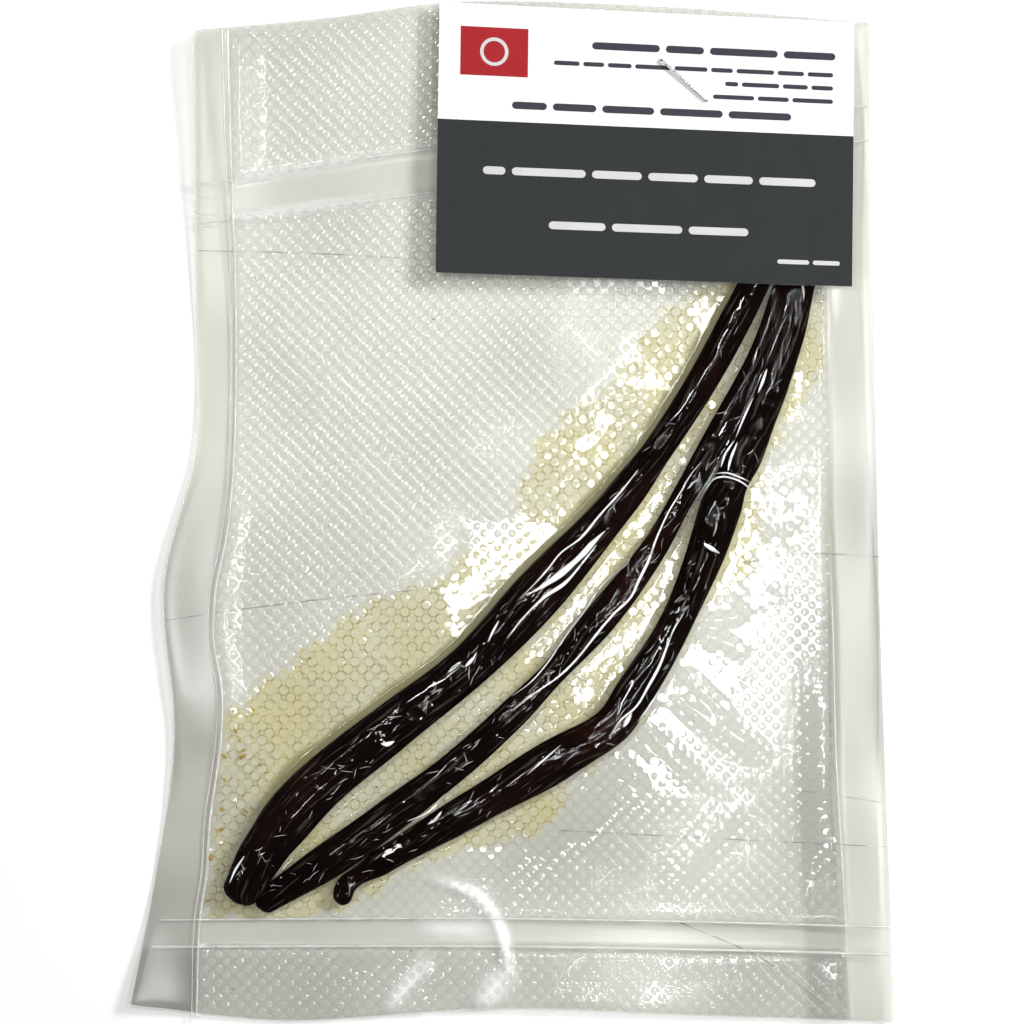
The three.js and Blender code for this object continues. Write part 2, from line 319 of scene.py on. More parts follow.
class Nodes:
    """A node tree that is being made."""

    prefix = "ShaderNode"

    def __init__(self, tree: bpy.types.NodeTree) -> None:
        """Keeps the tree."""
        self.tree = tree

    def feed(self, socket: NodeSocket, value: object) -> None:
        """Links an input or sets it.

        Args:
            socket: the input.
            value: a socket, a node that stands for its first output, or a plain value.
        """
        value = value.outputs[0] if isinstance(value, Node) else value
        if isinstance(value, NodeSocket):
            self.tree.links.new(value, socket)
        else:
            socket.default_value = (*value, 1) if socket.type == "RGBA" else value

    def node(self, kind: str, inputs: dict | None = None, **settings: object) -> Node:
        """Adds a node.

        Args:
            kind: the node's type name, without the tree's own prefix.
            inputs: what its inputs are fed, by name or number.
            settings: the node's own properties.

        Returns:
            The node.
        """
        made = self.tree.nodes.new(kind if "Node" in kind else self.prefix + kind)
        for key, value in settings.items():
            setattr(made, key, value)
        for key, value in (inputs or {}).items():
            self.feed(made.inputs[key], value)
        return made

    def math(self, operation: str, a: object, b: object = 0.0, clamp: bool = False) -> NodeSocket:
        """One Math node's result."""
        made = self.node("ShaderNodeMath", {0: a, 1: b}, operation=operation, use_clamp=clamp)
        return made.outputs[0]

    def add(self, a: object, b: object) -> NodeSocket:
        """The sum of two values."""
        return self.math("ADD", a, b)

    def mul(self, a: object, *more: object) -> NodeSocket:
        """The product of all values."""
        return self.mul(self.math("MULTIPLY", a, more[0]), *more[1:]) if more else a

    def rest(self, value: object, clamp: bool = False) -> NodeSocket:
        """What a share leaves of 1."""
        return self.math("SUBTRACT", 1.0, value, clamp)

    def vector(self, operation: str, a: object, b: object = (0, 0, 0)) -> Node:
        """One Vector Math node."""
        return self.node("ShaderNodeVectorMath", {0: a, 1: b}, operation=operation)

    def split(self, vector: object) -> list[NodeSocket]:
        """The x, y and z of a vector."""
        return list(self.node("ShaderNodeSeparateXYZ", {0: vector}).outputs)

    def join(self, *parts: object) -> Node:
        """A vector of its x, y and z."""
        return self.node("ShaderNodeCombineXYZ", dict(enumerate(parts)))


class Bench(Nodes):
    """A workbench for one material."""

    def __init__(self, name: str) -> None:
        """Starts an empty material.

        Args:
            name: the material's name.
        """
        self.material = bpy.data.materials.new(name)
        self.material.use_nodes = True
        super().__init__(self.material.node_tree)
        self.tree.nodes.clear()
        self.out = self.tree.nodes.new("ShaderNodeOutputMaterial")

    def ramp(
        self,
        value: object,
        low: float,
        high: float,
        start: float = 0.0,
        end: float = 1.0,
        rise: str = "SMOOTHSTEP",
    ) -> NodeSocket:
        """A rise of value from start at low to end at high."""
        inputs = {"Value": value, "From Min": low, "From Max": high, "To Min": start, "To Max": end}
        return self.node("MapRange", inputs, interpolation_type=rise).outputs[0]

    def blend(self, share: object, a: object, b: object) -> NodeSocket:
        """A mix of two colours."""
        return self.node("Mix", {0: share, 6: a, 7: b}, data_type="RGBA").outputs[2]

    def field(self, name: str) -> NodeSocket:
        """The number stored under a name at each point of the piece."""
        return self.node("Attribute", attribute_name=name).outputs["Fac"]

    def place(self) -> NodeSocket:
        """The piece's own position."""
        return self.node("TexCoord").outputs["Object"]

    def noise(self, scale: float, detail: float = 2.0, vector: object = None) -> NodeSocket:
        """A noise from 0 to 1, with scale in waves for each metre."""
        inputs = {"Vector": vector or self.place(), "Scale": scale, "Detail": detail}
        return self.node("TexNoise", inputs).outputs["Fac"]

    def bump(self, height: object, distance: float, **normal: object) -> NodeSocket:
        """A bumped normal; distance is the height in metres that 1 stands for."""
        inputs = {"Height": height, "Distance": distance, **normal}
        return self.node("Bump", inputs).outputs[0]

    def clear(self, colour: object = (1.0, 1.0, 1.0)) -> Node:
        """A see-through shader."""
        return self.node("BsdfTransparent", {0: colour})

    def body(self, colour: object, roughness: object, more: dict | None = None) -> Node:
        """A Principled shader, with more inputs by name."""
        inputs = {"Base Color": colour, "Roughness": roughness, **(more or {})}
        return self.node("BsdfPrincipled", inputs)

    def mix(self, share: object, first: Node, second: Node) -> Node:
        """A Mix Shader of two shader nodes."""
        return self.node("MixShader", {0: share, 1: first, 2: second})

    def finish(self, shader: Node) -> Material:
        """Connects the last shader and returns the material."""
        self.feed(self.out.inputs["Surface"], shader)
        return self.material


class GeometryTree(Nodes):
    """A Geometry Nodes tree with named inputs, run once on an object through a modifier that is
    then removed.
    """

    prefix = "GeometryNode"

    def __init__(self, name: str, inputs: dict[str, object]) -> None:
        """Starts a tree.

        Args:
            name: the tree's name.
            inputs: the value of each named input: a whole number, a number or a vector.
        """
        super().__init__(bpy.data.node_groups.new(name, "GeometryNodeTree"))
        face = self.tree.interface
        for side in ("INPUT", "OUTPUT"):
            face.new_socket("Geometry", in_out=side, socket_type="NodeSocketGeometry")
        kinds = {int: "NodeSocketInt", float: "NodeSocketFloat", tuple: "NodeSocketVector"}
        self.values = {}
        for key, value in inputs.items():
            socket = face.new_socket(key, in_out="INPUT", socket_type=kinds[type(value)])
            self.values[socket.identifier] = value
        self.start = self.tree.nodes.new("NodeGroupInput")
        self.end = self.tree.nodes.new("NodeGroupOutput")

    def given(self, name: str) -> NodeSocket:
        """The socket of a named input."""
        return self.start.outputs[name]

    def read(self, name: str) -> Node:
        """A number stored at each point under a name."""
        return self.node("InputNamedAttribute", {"Name": name}, data_type="FLOAT")

    def random(self, low: float | Triple, high: float | Triple) -> NodeSocket:
        """A random number or vector for each point, by the tree's Seed.

        Args:
            low: the lowest value.
            high: the highest value.

        Returns:
            The value's socket.
        """
        first, kind = (0, "FLOAT_VECTOR") if isinstance(low, tuple) else (2, "FLOAT")
        inputs = {"Seed": self.given("Seed"), first: low, first + 1: high}
        made = self.node("FunctionNodeRandomValue", inputs, data_type=kind)
        return made.outputs[first // 2]

    def scatter(self, points: Node, piece: Node, rotation: object, scale: object) -> Node:
        """A copy of a piece on each point."""
        inputs = {"Points": points, "Instance": piece, "Rotation": rotation, "Scale": scale}
        return self.node("InstanceOnPoints", inputs)

    def run(self, geometry: Node, material: Material, host: Object, name: str) -> Object:
        """Ends the tree and evaluates it on a host object.

        Args:
            geometry: the tree's last node.
            material: the piece's material.
            host: the object whose geometry the tree is given.
            name: the name of the piece that comes out.

        Returns:
            A new plain mesh object; the host keeps its own mesh and loses the modifier.
        """
        real = self.node("RealizeInstances", {0: geometry})
        smooth = self.node("SetShadeSmooth", {0: real, "Shade Smooth": True})
        dressed = self.node("SetMaterial", {"Geometry": smooth, "Material": material})
        self.feed(self.end.inputs[0], dressed)
        modifier = host.modifiers.new(name, "NODES")
        modifier.node_group = self.tree
        for identifier, value in self.values.items():
            modifier[identifier] = value
        graph = bpy.context.evaluated_depsgraph_get()
        mesh = bpy.data.meshes.new_from_object(host.evaluated_get(graph), depsgraph=graph)
        host.modifiers.remove(modifier)
        mesh.name = name
        return link(name, mesh)


# ---- Finishes -----------------------------------------------------------------------------------


@dataclass(frozen=True)
class Lattice:
    """The square lattice of round pads, turned 45 degrees to the bag."""

    pitch: float = 2.07
    turn: float = 45.0
    pad_radius: float = 0.93

    def cell_radius(self, bench: Bench) -> NodeSocket:
        """The distance from the middle of each cell.

        Args:
            bench: the material being made.

        Returns:
            The distance in pitches.
        """
        size = 1 / (self.pitch * MM)
        rotation = (0, 0, math.radians(self.turn))
        inputs = {"Vector": bench.place(), "Rotation": rotation, "Scale": (size, size, 0)}
        cell = bench.vector("FRACTION", bench.node("Mapping", inputs))
        x, y, _ = bench.split(bench.vector("SUBTRACT", cell, (0.5, 0.5, 0)))
        return bench.vector("LENGTH", bench.join(x, y)).outputs["Value"]


@dataclass(frozen=True)
class FilmFinish:
    """Clear glossy film: see-through, with a mirror share that grows at a glance."""

    tint: Triple
    haze_colour: Triple
    mirror: float
    roughness: float
    straight_on: float = 0.04
    glance_power: float = 5.0
    haze_roughness: float = 0.6
    gloss_colour: Triple = (0.96, 0.97, 0.97)

    def shade(
        self,
        bench: Bench,
        haze: object,
        tint: object = None,
        mirror: object = None,
        roughness: object = None,
        **normal: object,
    ) -> Material:
        """Joins the see-through, hazy and mirroring parts of the film.

        Args:
            bench: the material being made.
            haze: the milky share, which in places also carries painted highlights and glints.
            tint: the colour of what passes, where it varies.
            mirror: the strength of the mirroring, where it varies.
            roughness: the mirroring part's roughness, where it varies.
            normal: the bumped normal as Normal, where the film is uneven.

        Returns:
            The finished material.
        """
        milk_inputs = {"Specular IOR Level": 0.0, **normal}
        milk = bench.body(self.haze_colour, self.haze_roughness, milk_inputs)
        film = bench.mix(haze, bench.clear(tint or self.tint), milk)
        gloss_inputs = {"Metallic": 1.0, **normal}
        gloss = bench.body(self.gloss_colour, roughness or self.roughness, gloss_inputs)
        glance = bench.node("LayerWeight", {"Blend": 0.5, **normal})
        edge = bench.math("POWER", glance.outputs["Facing"], self.glance_power)
        reflected = bench.ramp(edge, 0, 1, self.straight_on, 1.0, "LINEAR")
        share = bench.math("MULTIPLY", reflected, mirror or self.mirror, clamp=True)
        return bench.finish(bench.mix(share, film, gloss))


def scaled(colour: Triple, share: float) -> Triple:
    """A darker colour."""
    return tuple(share * part for part in colour)


class Finishes:
    """Every material of the pack, each made once."""

    lattice = Lattice()

    def front_film(self) -> Material:
        """The smooth front sheet, pressed on the pads, with highlights painted white into its haze
        along some creases and the back welds.

        Returns:
            The material.
        """
        bench = Bench("front_film")
        finish = FilmFinish((0.99, 0.99, 0.98), (0.92, 0.92, 0.90), 1.5, 0.02)
        weld, drawn, shine, contact, milk = map(
            bench.field, ("weld", "drawn", "shine", "contact", "milk")
        )
        radius = self.lattice.cell_radius(bench)
        under_pad = bench.mul(bench.ramp(radius, 0.45, 0.43), bench.ramp(drawn, 0.36, 0.34))
        painted_highlights = bench.ramp(radius, 0.28, 0.46, 0.50, 0.66)
        painted_highlights = bench.math("MAXIMUM", painted_highlights, bench.mul(weld, 0.66))
        haze = bench.mul(bench.ramp(weld, 0, 1, 0.02, 0.06), bench.rest(drawn, clamp=True))
        # Painted highlights: white haze along some creases and the back welds, broken by the pads
        # and fuller on the welds.
        haze = bench.add(bench.add(haze, bench.mul(weld, 0.05)), bench.mul(milk, painted_highlights))
        mirror = bench.mul(
            bench.ramp(shine, 0, 1, 0.9, finish.mirror),
            bench.ramp(contact, 0, 1, 1.0, 0.26),
            bench.rest(under_pad),
        )
        rough = bench.add(bench.ramp(shine, 0, 1, 0.08, 0.02), bench.mul(weld, 0.12))
        return finish.shade(bench, haze, mirror=mirror, roughness=rough)

    def back_film(self) -> Material:
        """The embossed back sheet, milky, with the oil's stain between its pads, painted shade and
        painted glints on its rings.

        Returns:
            The material.
        """
        bench = Bench("back_film")
        finish = FilmFinish((0.865, 0.87, 0.835), (0.93, 0.93, 0.88), 0.12, 0.12)
        # The olive of the smooth strip beside the left pod is partly the oil's stain and partly
        # painted shade.
        between_pads, oily, olive_and_shade = (0.80, 0.805, 0.77), (0.85, 0.81, 0.575), (0.60, 0.58, 0.40)
        molten, ring_brown, black = (0.82, 0.815, 0.775), (0.40, 0.37, 0.13), (0.0, 0.0, 0.0)
        oil, wedge, weld, band, veil, rims = map(
            bench.field, ("oil", "wedge", "weld", "band", "veil", "rims")
        )
        radius = self.lattice.cell_radius(bench)
        ring = bench.mul(
            bench.ramp(radius, 0.45, 0.47),
            bench.ramp(radius, 0.52, 0.495),
            bench.rest(weld, clamp=True),
            bench.rest(band),
        )
        patchy = bench.ramp(bench.noise(620.0, 3.0), 0.36, 0.62, 0.1, 1.0)
        outlined = bench.mul(ring, patchy, oil)
        depth = bench.mul(
            bench.math("MAXIMUM", oil, wedge),
            bench.ramp(bench.noise(60.0, 4.0), 0.30, 0.70, 0.35, 1.0),
            bench.ramp(radius, 0.30, 0.50, 0.72, 1.0),
        )
        colour = bench.blend(bench.ramp(radius, 0.34, 0.5), finish.tint, between_pads)
        for share, tone in ((depth, oily), (band, olive_and_shade), (weld, molten), (outlined, ring_brown)):
            colour = bench.blend(share, colour, tone)
        # Painted shade: the colour is darkened towards half of itself where the painted shade map
        # says.
        colour = bench.blend(veil, colour, bench.blend(0.5, colour, black))
        # Painted glints: the rings' white haze stands for their rims catching the light. It is
        # faint off the oil and stronger near the card, where the rings shine in its shadow.
        painted_glint_haze = bench.add(0.06, bench.mul(rims, 0.28))
        haze = bench.add(0.03, bench.mul(ring, bench.rest(oil), painted_glint_haze))
        return finish.shade(bench, haze, colour)

    def pads(self) -> Material:
        """The film over each raised pad: a low clear dome that catches the light at its rim.

        Returns:
            The material.
        """
        bench = Bench("film_pads")
        finish = FilmFinish((0.995, 0.995, 0.985), (0.97, 0.97, 0.94), 1.5, 0.06)
        mirror = bench.ramp(bench.field("taut"), 0.2, 0.8, 0.65, finish.mirror)
        return finish.shade(bench, 0.03, mirror=mirror)

    def bead(self) -> Material:
        """The thickened film along the seals; its milky white is partly its own and partly painted
        highlight.

        Returns:
            The material.
        """
        bench = Bench("seal_bead")
        finish = FilmFinish((0.99, 0.99, 0.98), (0.97, 0.97, 0.95), 2.0, 0.14)
        return finish.shade(bench, 0.35, Normal=bench.bump(bench.noise(700.0), 0.00003))

    def painted_streak(self) -> Material:
        """A sharp crease of the film over a pod, painted white as a highlight, with a mirror share
        as well.

        Returns:
            The material.
        """
        bench = Bench("film_painted_streak")
        finish = FilmFinish((0.99, 0.99, 0.98), (1.0, 1.0, 1.0), 4.0, 0.1)
        share = bench.ramp(bench.noise(260.0, 3.0), 0.30, 0.40, 0.35, 0.97)
        return finish.shade(bench, share, Normal=bench.bump(bench.noise(900.0), 0.00003))

    def scratch(self) -> Material:
        """A fine grey scuff.

        Returns:
            The material.
        """
        bench = Bench("scuff")
        fade = bench.ramp(bench.noise(260.0), 0.38, 0.6, 0.05, 0.5)
        grey = bench.body((0.22, 0.22, 0.20), 0.6)
        return bench.finish(bench.mix(fade, bench.clear(), grey))

    def pod_skin(self) -> Material:
        """Cured vanilla: nearly black, oily, with red-brown showing through in places, and grey
        strands of painted sheen along its fibres.

        Returns:
            The material.
        """
        bench = Bench("pod_skin")
        black, red_brown = (0.0030, 0.0020, 0.0017), (0.013, 0.0048, 0.0034)
        worn_brown, strand_sheen_grey = (0.007, 0.0035, 0.0026), (0.065, 0.050, 0.042)
        colour = bench.blend(bench.ramp(bench.noise(55.0, 4.0), 0.50, 0.72), black, red_brown)
        worn = bench.mul(bench.ramp(bench.field("ridge"), 0.35, 1.0), 0.5)
        colour = bench.blend(worn, colour, worn_brown)
        fibres = bench.join(bench.mul(bench.field("run"), 0.10), bench.field("round"))
        strands = bench.noise(1.1, 4.0, fibres.outputs[0])
        # Painted sheen: the grey along the fibres stands in for the skin's fine glints, as it has
        # no specular of its own.
        colour = bench.blend(bench.ramp(strands, 0.56, 0.66, 0.0, 0.6), colour, strand_sheen_grey)
        relief = bench.bump(strands, 0.00035)
        relief = bench.bump(bench.noise(1500.0, 3.0), 0.00005, Normal=relief)
        rough = bench.ramp(bench.noise(300.0, 3.0), 0.3, 0.7, 0.34, 0.52)
        return bench.finish(
            bench.body(colour, rough, {"Normal": relief, "Specular IOR Level": 0.0})
        )

    def speck(self, name: str, colour: Triple, body_share: float) -> Material:
        """A crumb or a dried oil drop.

        Args:
            name: the material's name.
            colour: the drop's colour.
            body_share: how opaque it is.

        Returns:
            The material.
        """
        bench = Bench(name)
        body = bench.body(bench.blend(bench.noise(800.0), colour, scaled(colour, 0.7)), 0.35)
        glow = tuple(0.4 + 0.6 * part for part in colour)
        return bench.finish(bench.mix(body_share, bench.clear(glow), body))

    def paper(self, name: str, colour: Triple) -> Material:
        """Coated card in one printed colour, with a faint grain and a satin sheen.

        Args:
            name: the material's name.
            colour: the printed colour.

        Returns:
            The material.
        """
        bench = Bench(name)
        grain = bench.noise(1900.0, 3.0)
        mottle = bench.ramp(bench.noise(140.0, 3.0), 0.3, 0.7)
        tone = bench.blend(mottle, colour, scaled(colour, 0.93))
        more = {"Specular IOR Level": 0.12, "Normal": bench.bump(grain, 0.00002)}
        return bench.finish(bench.body(tone, bench.ramp(grain, 0.3, 0.7, 0.42, 0.55), more))

    def steel(self) -> Material:
        """Drawn staple wire.

        Returns:
            The material.
        """
        bench = Bench("staple_steel")
        streaks = bench.noise(2200.0)
        tone = bench.blend(streaks, (0.50, 0.50, 0.49), (0.66, 0.66, 0.65))
        rough = bench.ramp(streaks, 0.3, 0.7, 0.25, 0.42)
        return bench.finish(bench.body(tone, rough, {"Metallic": 1.0}))

    def floor(self) -> Material:
        """The floor's pale paint.

        Returns:
            The material.
        """
        bench = Bench("floor_paint")
        tone = bench.blend(bench.noise(6.0), (0.92, 0.92, 0.91), (0.94, 0.94, 0.93))
        return bench.finish(bench.body(tone, 0.9))


# ---- Pods ---------------------------------------------------------------------------------------


@dataclass
class Pod:
    """One cured pod, from its tip to its stem end.

    Each of its wrinkles is a start and an end as shares of the pod's length, the distance to the
    left of its middle line, a height and a width.
    """

    name: str
    line: Pairs
    width: Pairs
    seed: int
    wrinkles: tuple[tuple[float, float, float, float, float], ...]
    floor: float = 0.95
    thin: float = 1.0
    thin_share: float = 0.42
    skin: float = 0.12
    groove: float = 0.42
    fine: float = 0.16
    knots: float = 0.16
    cross: float = 0.07
    tip: float = 2.4
    stations: int = 330
    sides: int = 56
    centre: Array = field(init=False)
    widths: Array = field(init=False)

    def __post_init__(self) -> None:
        """Works out the middle line and the width at each station."""
        self.centre = spline(self.line, self.stations)
        self.widths = profile(self.width, np.linspace(0, 1, self.stations))

    def length(self) -> float:
        """The length along the middle line."""
        return float(np.linalg.norm(np.diff(self.centre, axis=0), axis=1).sum())

    def beside(self, places: Array) -> tuple[Array, Array, Array]:
        """Where each place lies beside the pod.

        Args:
            places: an array whose last axis is x and y.

        Returns:
            The distance from the middle line, the share of its length and half the width there.
        """
        gap, share = beside_line(places, self.centre[:: self.stations // 60])
        return gap, share, np.interp(share, np.linspace(0, 1, self.stations), self.widths) / 2

    def roundness(self) -> Array:
        """How full the pod is at each station: small at the two ends, 1 between them.

        Returns:
            A share for each station.
        """
        run = np.linspace(0, self.length(), self.stations)
        t = np.clip(np.minimum(run, self.length() - run) / self.tip, 0, 1)
        return np.maximum(np.sqrt(1 - (1 - t) ** 2), 0.12)

    def relief(self, run: Array, angle: Array) -> tuple[Array, Array]:
        """The skin's wrinkles.

        Args:
            run: millimetres along the pod.
            angle: the angle round it.

        Returns:
            How far the skin lies inside its full size, in millimetres, and how ridged it is.
        """
        draw = np.random.default_rng(self.seed)
        sums = []
        for low, high, lengths, count in (
            (2, 6, (45, 130), 7), (7, 15, (22, 70), 8), (0, 2, (9, 26), 7), (1, 4, (4.5, 9), 6)
        ):
            total = np.zeros_like(run)
            for _ in range(count):
                whole = draw.integers(low, high + 1)
                size = 2 * math.pi / draw.uniform(*lengths) * draw.choice([-1, 1])
                total += np.cos(whole * angle + size * run + draw.uniform(0, 2 * math.pi))
            sums.append(total / math.sqrt(count))
        folds, fine, knots, cross = sums
        groove = np.clip(1 - np.abs(folds), 0, 1) ** 4
        small = np.clip(1 - np.abs(fine), 0, 1) ** 3
        knotted = 0.5 - 0.5 * np.clip(knots, -1, 1)
        depth = self.groove * groove + self.fine * small + self.knots * knotted
        depth += self.cross * np.clip(1 - np.abs(cross), 0, 1) ** 3
        depth = depth * smoothstep(0.1, 0.6, np.abs(np.sin(angle)))
        return depth, 1 - np.clip(groove + 0.6 * small, 0, 1)

    def film_wrinkles(self, gap: Array, share: Array) -> Array:
        """The height of the film's wrinkles over the pod.

        Args:
            gap: millimetres from the middle line, above 0 on its left.
            share: the share of the pod's length.

        Returns:
            Millimetres above the skin.
        """
        total = np.zeros_like(gap)
        for start, end, side, height, width in self.wrinkles:
            seed = 100 + self.seed + round(10 * side)
            wander = 0.45 * waves(seed, share * self.length(), 0 * gap, (9, 40), 5)
            ends = smoothstep(start, start + 0.03, share) * smoothstep(end, end - 0.03, share)
            total += height * ends * np.exp(-(((gap - side - wander) / width) ** 2))
        return total

    def build(self, material: Material) -> Object:
        """Makes the pod's mesh.

        Args:
            material: its skin.

        Returns:
            The pod as one closed mesh.
        """
        run = np.linspace(0, self.length(), self.stations)[:, None]
        angle = np.linspace(0, 2 * math.pi, self.sides, endpoint=False)[None]
        run_all, angle_all = np.broadcast_arrays(run, angle)
        depth, ridge = self.relief(run_all, angle_all)
        full = self.roundness()[:, None]
        half_width = (self.widths[:, None] / 2 + self.skin) * full
        thickness = self.thin + self.thin_share * self.widths[:, None]
        half_height = thickness / 2 * (0.25 + 0.75 * full)
        smoother_below = np.where(np.sin(angle) < -0.5, 0.4, 1)
        shrink = 1 - depth * full / np.maximum(half_width, 0.8) * smoother_below
        shrink = np.clip(shrink, 0.55, 1)
        tangent = np.gradient(self.centre, axis=0)
        tangent /= np.linalg.norm(tangent, axis=1, keepdims=True)
        across = np.column_stack([-tangent[:, 1], tangent[:, 0]])
        side = half_width * np.cos(angle) * shrink
        up = half_height * np.sin(angle) * np.where(np.sin(angle) < 0, 0.9, 1) * shrink
        places = np.empty((self.stations, self.sides, 3))
        places[..., :2] = self.centre[:, None] + across[:, None] * side[..., None]
        places[..., 2] = self.floor + half_height + up
        points = np.vstack([places.reshape(-1, 3), places[0].mean(0), places[-1].mean(0)])
        faces = grid_faces(self.stations, self.sides, wrap=True).tolist()
        last = self.stations * self.sides
        for k in range(self.sides):
            after = (k + 1) % self.sides
            faces.append([last, after, k])
            faces.append([last + 1, last - self.sides + k, last - self.sides + after])
        obj = make_mesh(self.name, points, faces, (material,))
        add_field(obj, "ridge", np.append(ridge.ravel(), [0.5, 0.5]))
        add_field(obj, "run", np.append(run_all.ravel(), [0, self.length()]))
        add_field(obj, "round", np.append((angle_all * half_width * 1.1).ravel(), [0, 0]))
        return obj


PODS = (
    Pod(
        "pod_left_skin",
        way(-56.8, -80, -50.1, -68.4, -40.6, -57, -24.3, -43.7, -8.7, -31.4, 6, -16, 22.3, 2.5,
            35.3, 20.9, 44.2, 36.3, 53.4, 55.8, 56.3, 70.4),
        way(0, 7, 0.065, 9.2, 0.11, 10.5, 0.2, 10, 0.35, 8.7, 0.46, 10.1, 0.6, 7.2, 0.67, 5.8,
            0.82, 6.3, 1, 4.2),
        11,
        wrinkles=(
            (0.36, 0.72, 1.7, 0.17, 0.75), (0.34, 0.62, 0.1, 0.17, 0.75),
            (0.30, 0.56, -2.0, 0.12, 0.7), (0.04, 0.30, 1.8, 0.12, 0.7),
            (0.60, 0.96, -0.2, 0.12, 0.7),
        ),
    ),
    Pod(
        "pod_middle_skin",
        way(-52.3, -80.8, -35.3, -69.8, -22.5, -60.4, -9.1, -49.9, 6.9, -34.5, 20.4, -19.1,
            29.5, -6.8, 34.7, 2.5, 41.1, 13.6, 51.5, 34.1, 55.3, 46.1, 57.6, 57.5, 58.8, 67.8),
        way(0, 5, 0.1, 7.3, 0.17, 7, 0.25, 6.1, 0.34, 5.9, 0.4, 4.9, 0.48, 6.4, 0.63, 4.5,
            0.7, 5.2, 0.82, 4.2, 1, 3),
        23,
        wrinkles=(
            (0.30, 0.72, 1.6, 0.17, 0.7), (0.25, 0.60, -1.2, 0.15, 0.7),
            (0.05, 0.28, 0.8, 0.10, 0.7), (0.66, 0.98, -0.6, 0.17, 0.7),
            (0.74, 0.96, 1.0, 0.12, 0.6),
        ),
    ),
    Pod(
        "pod_right_skin",
        way(-34.9, -80.6, -34, -76.6, -28, -72.4, -7.5, -60.3, 10.5, -49.8, 20.5, -43.6, 25, -37,
            32.2, -25.3, 39.1, -9.9, 43.4, 2.8, 48.3, 13.6, 56.5, 34.1, 59.7, 46.1, 62.4, 58,
            63.2, 66.5),
        way(0, 3.8, 0.02, 3.9, 0.04, 3.5, 0.07, 5.2, 0.19, 7.2, 0.28, 8.8, 0.35, 7.6, 0.4, 7.7,
            0.5, 6.5, 0.63, 8.3, 0.664, 6.8, 0.69, 7.5, 0.75, 6.4, 0.83, 5.2, 0.89, 4.3, 1, 3),
        37,
        wrinkles=(
            (0.32, 0.62, -0.4, 0.17, 0.75), (0.66, 0.95, 0.9, 0.17, 0.7),
            (0.10, 0.30, 0.5, 0.12, 0.7), (0.42, 0.62, 2.2, 0.14, 0.7),
            (0.70, 0.97, -1.0, 0.12, 0.6),
        ),
    ),
)


# ---- Film ---------------------------------------------------------------------------------------


@dataclass(frozen=True)
class Crease:
    """A raised line in the front sheet, or a line along which a highlight is painted on it."""

    way: Pairs
    height: float
    width: float
    fade: float = 0.3

    def over(self, places: Array) -> Array:
        """The crease's height, which fades towards both of its ends.

        Args:
            places: an array whose last axis is x and y.

        Returns:
            The height at each place.
        """
        gap, share = beside_line(places, spline(self.way, 4 * len(self.way)))
        ends = smoothstep(0, self.fade, share) * smoothstep(0, self.fade, 1 - share)
        return self.height * ends * np.exp(-((gap / self.width) ** 2))


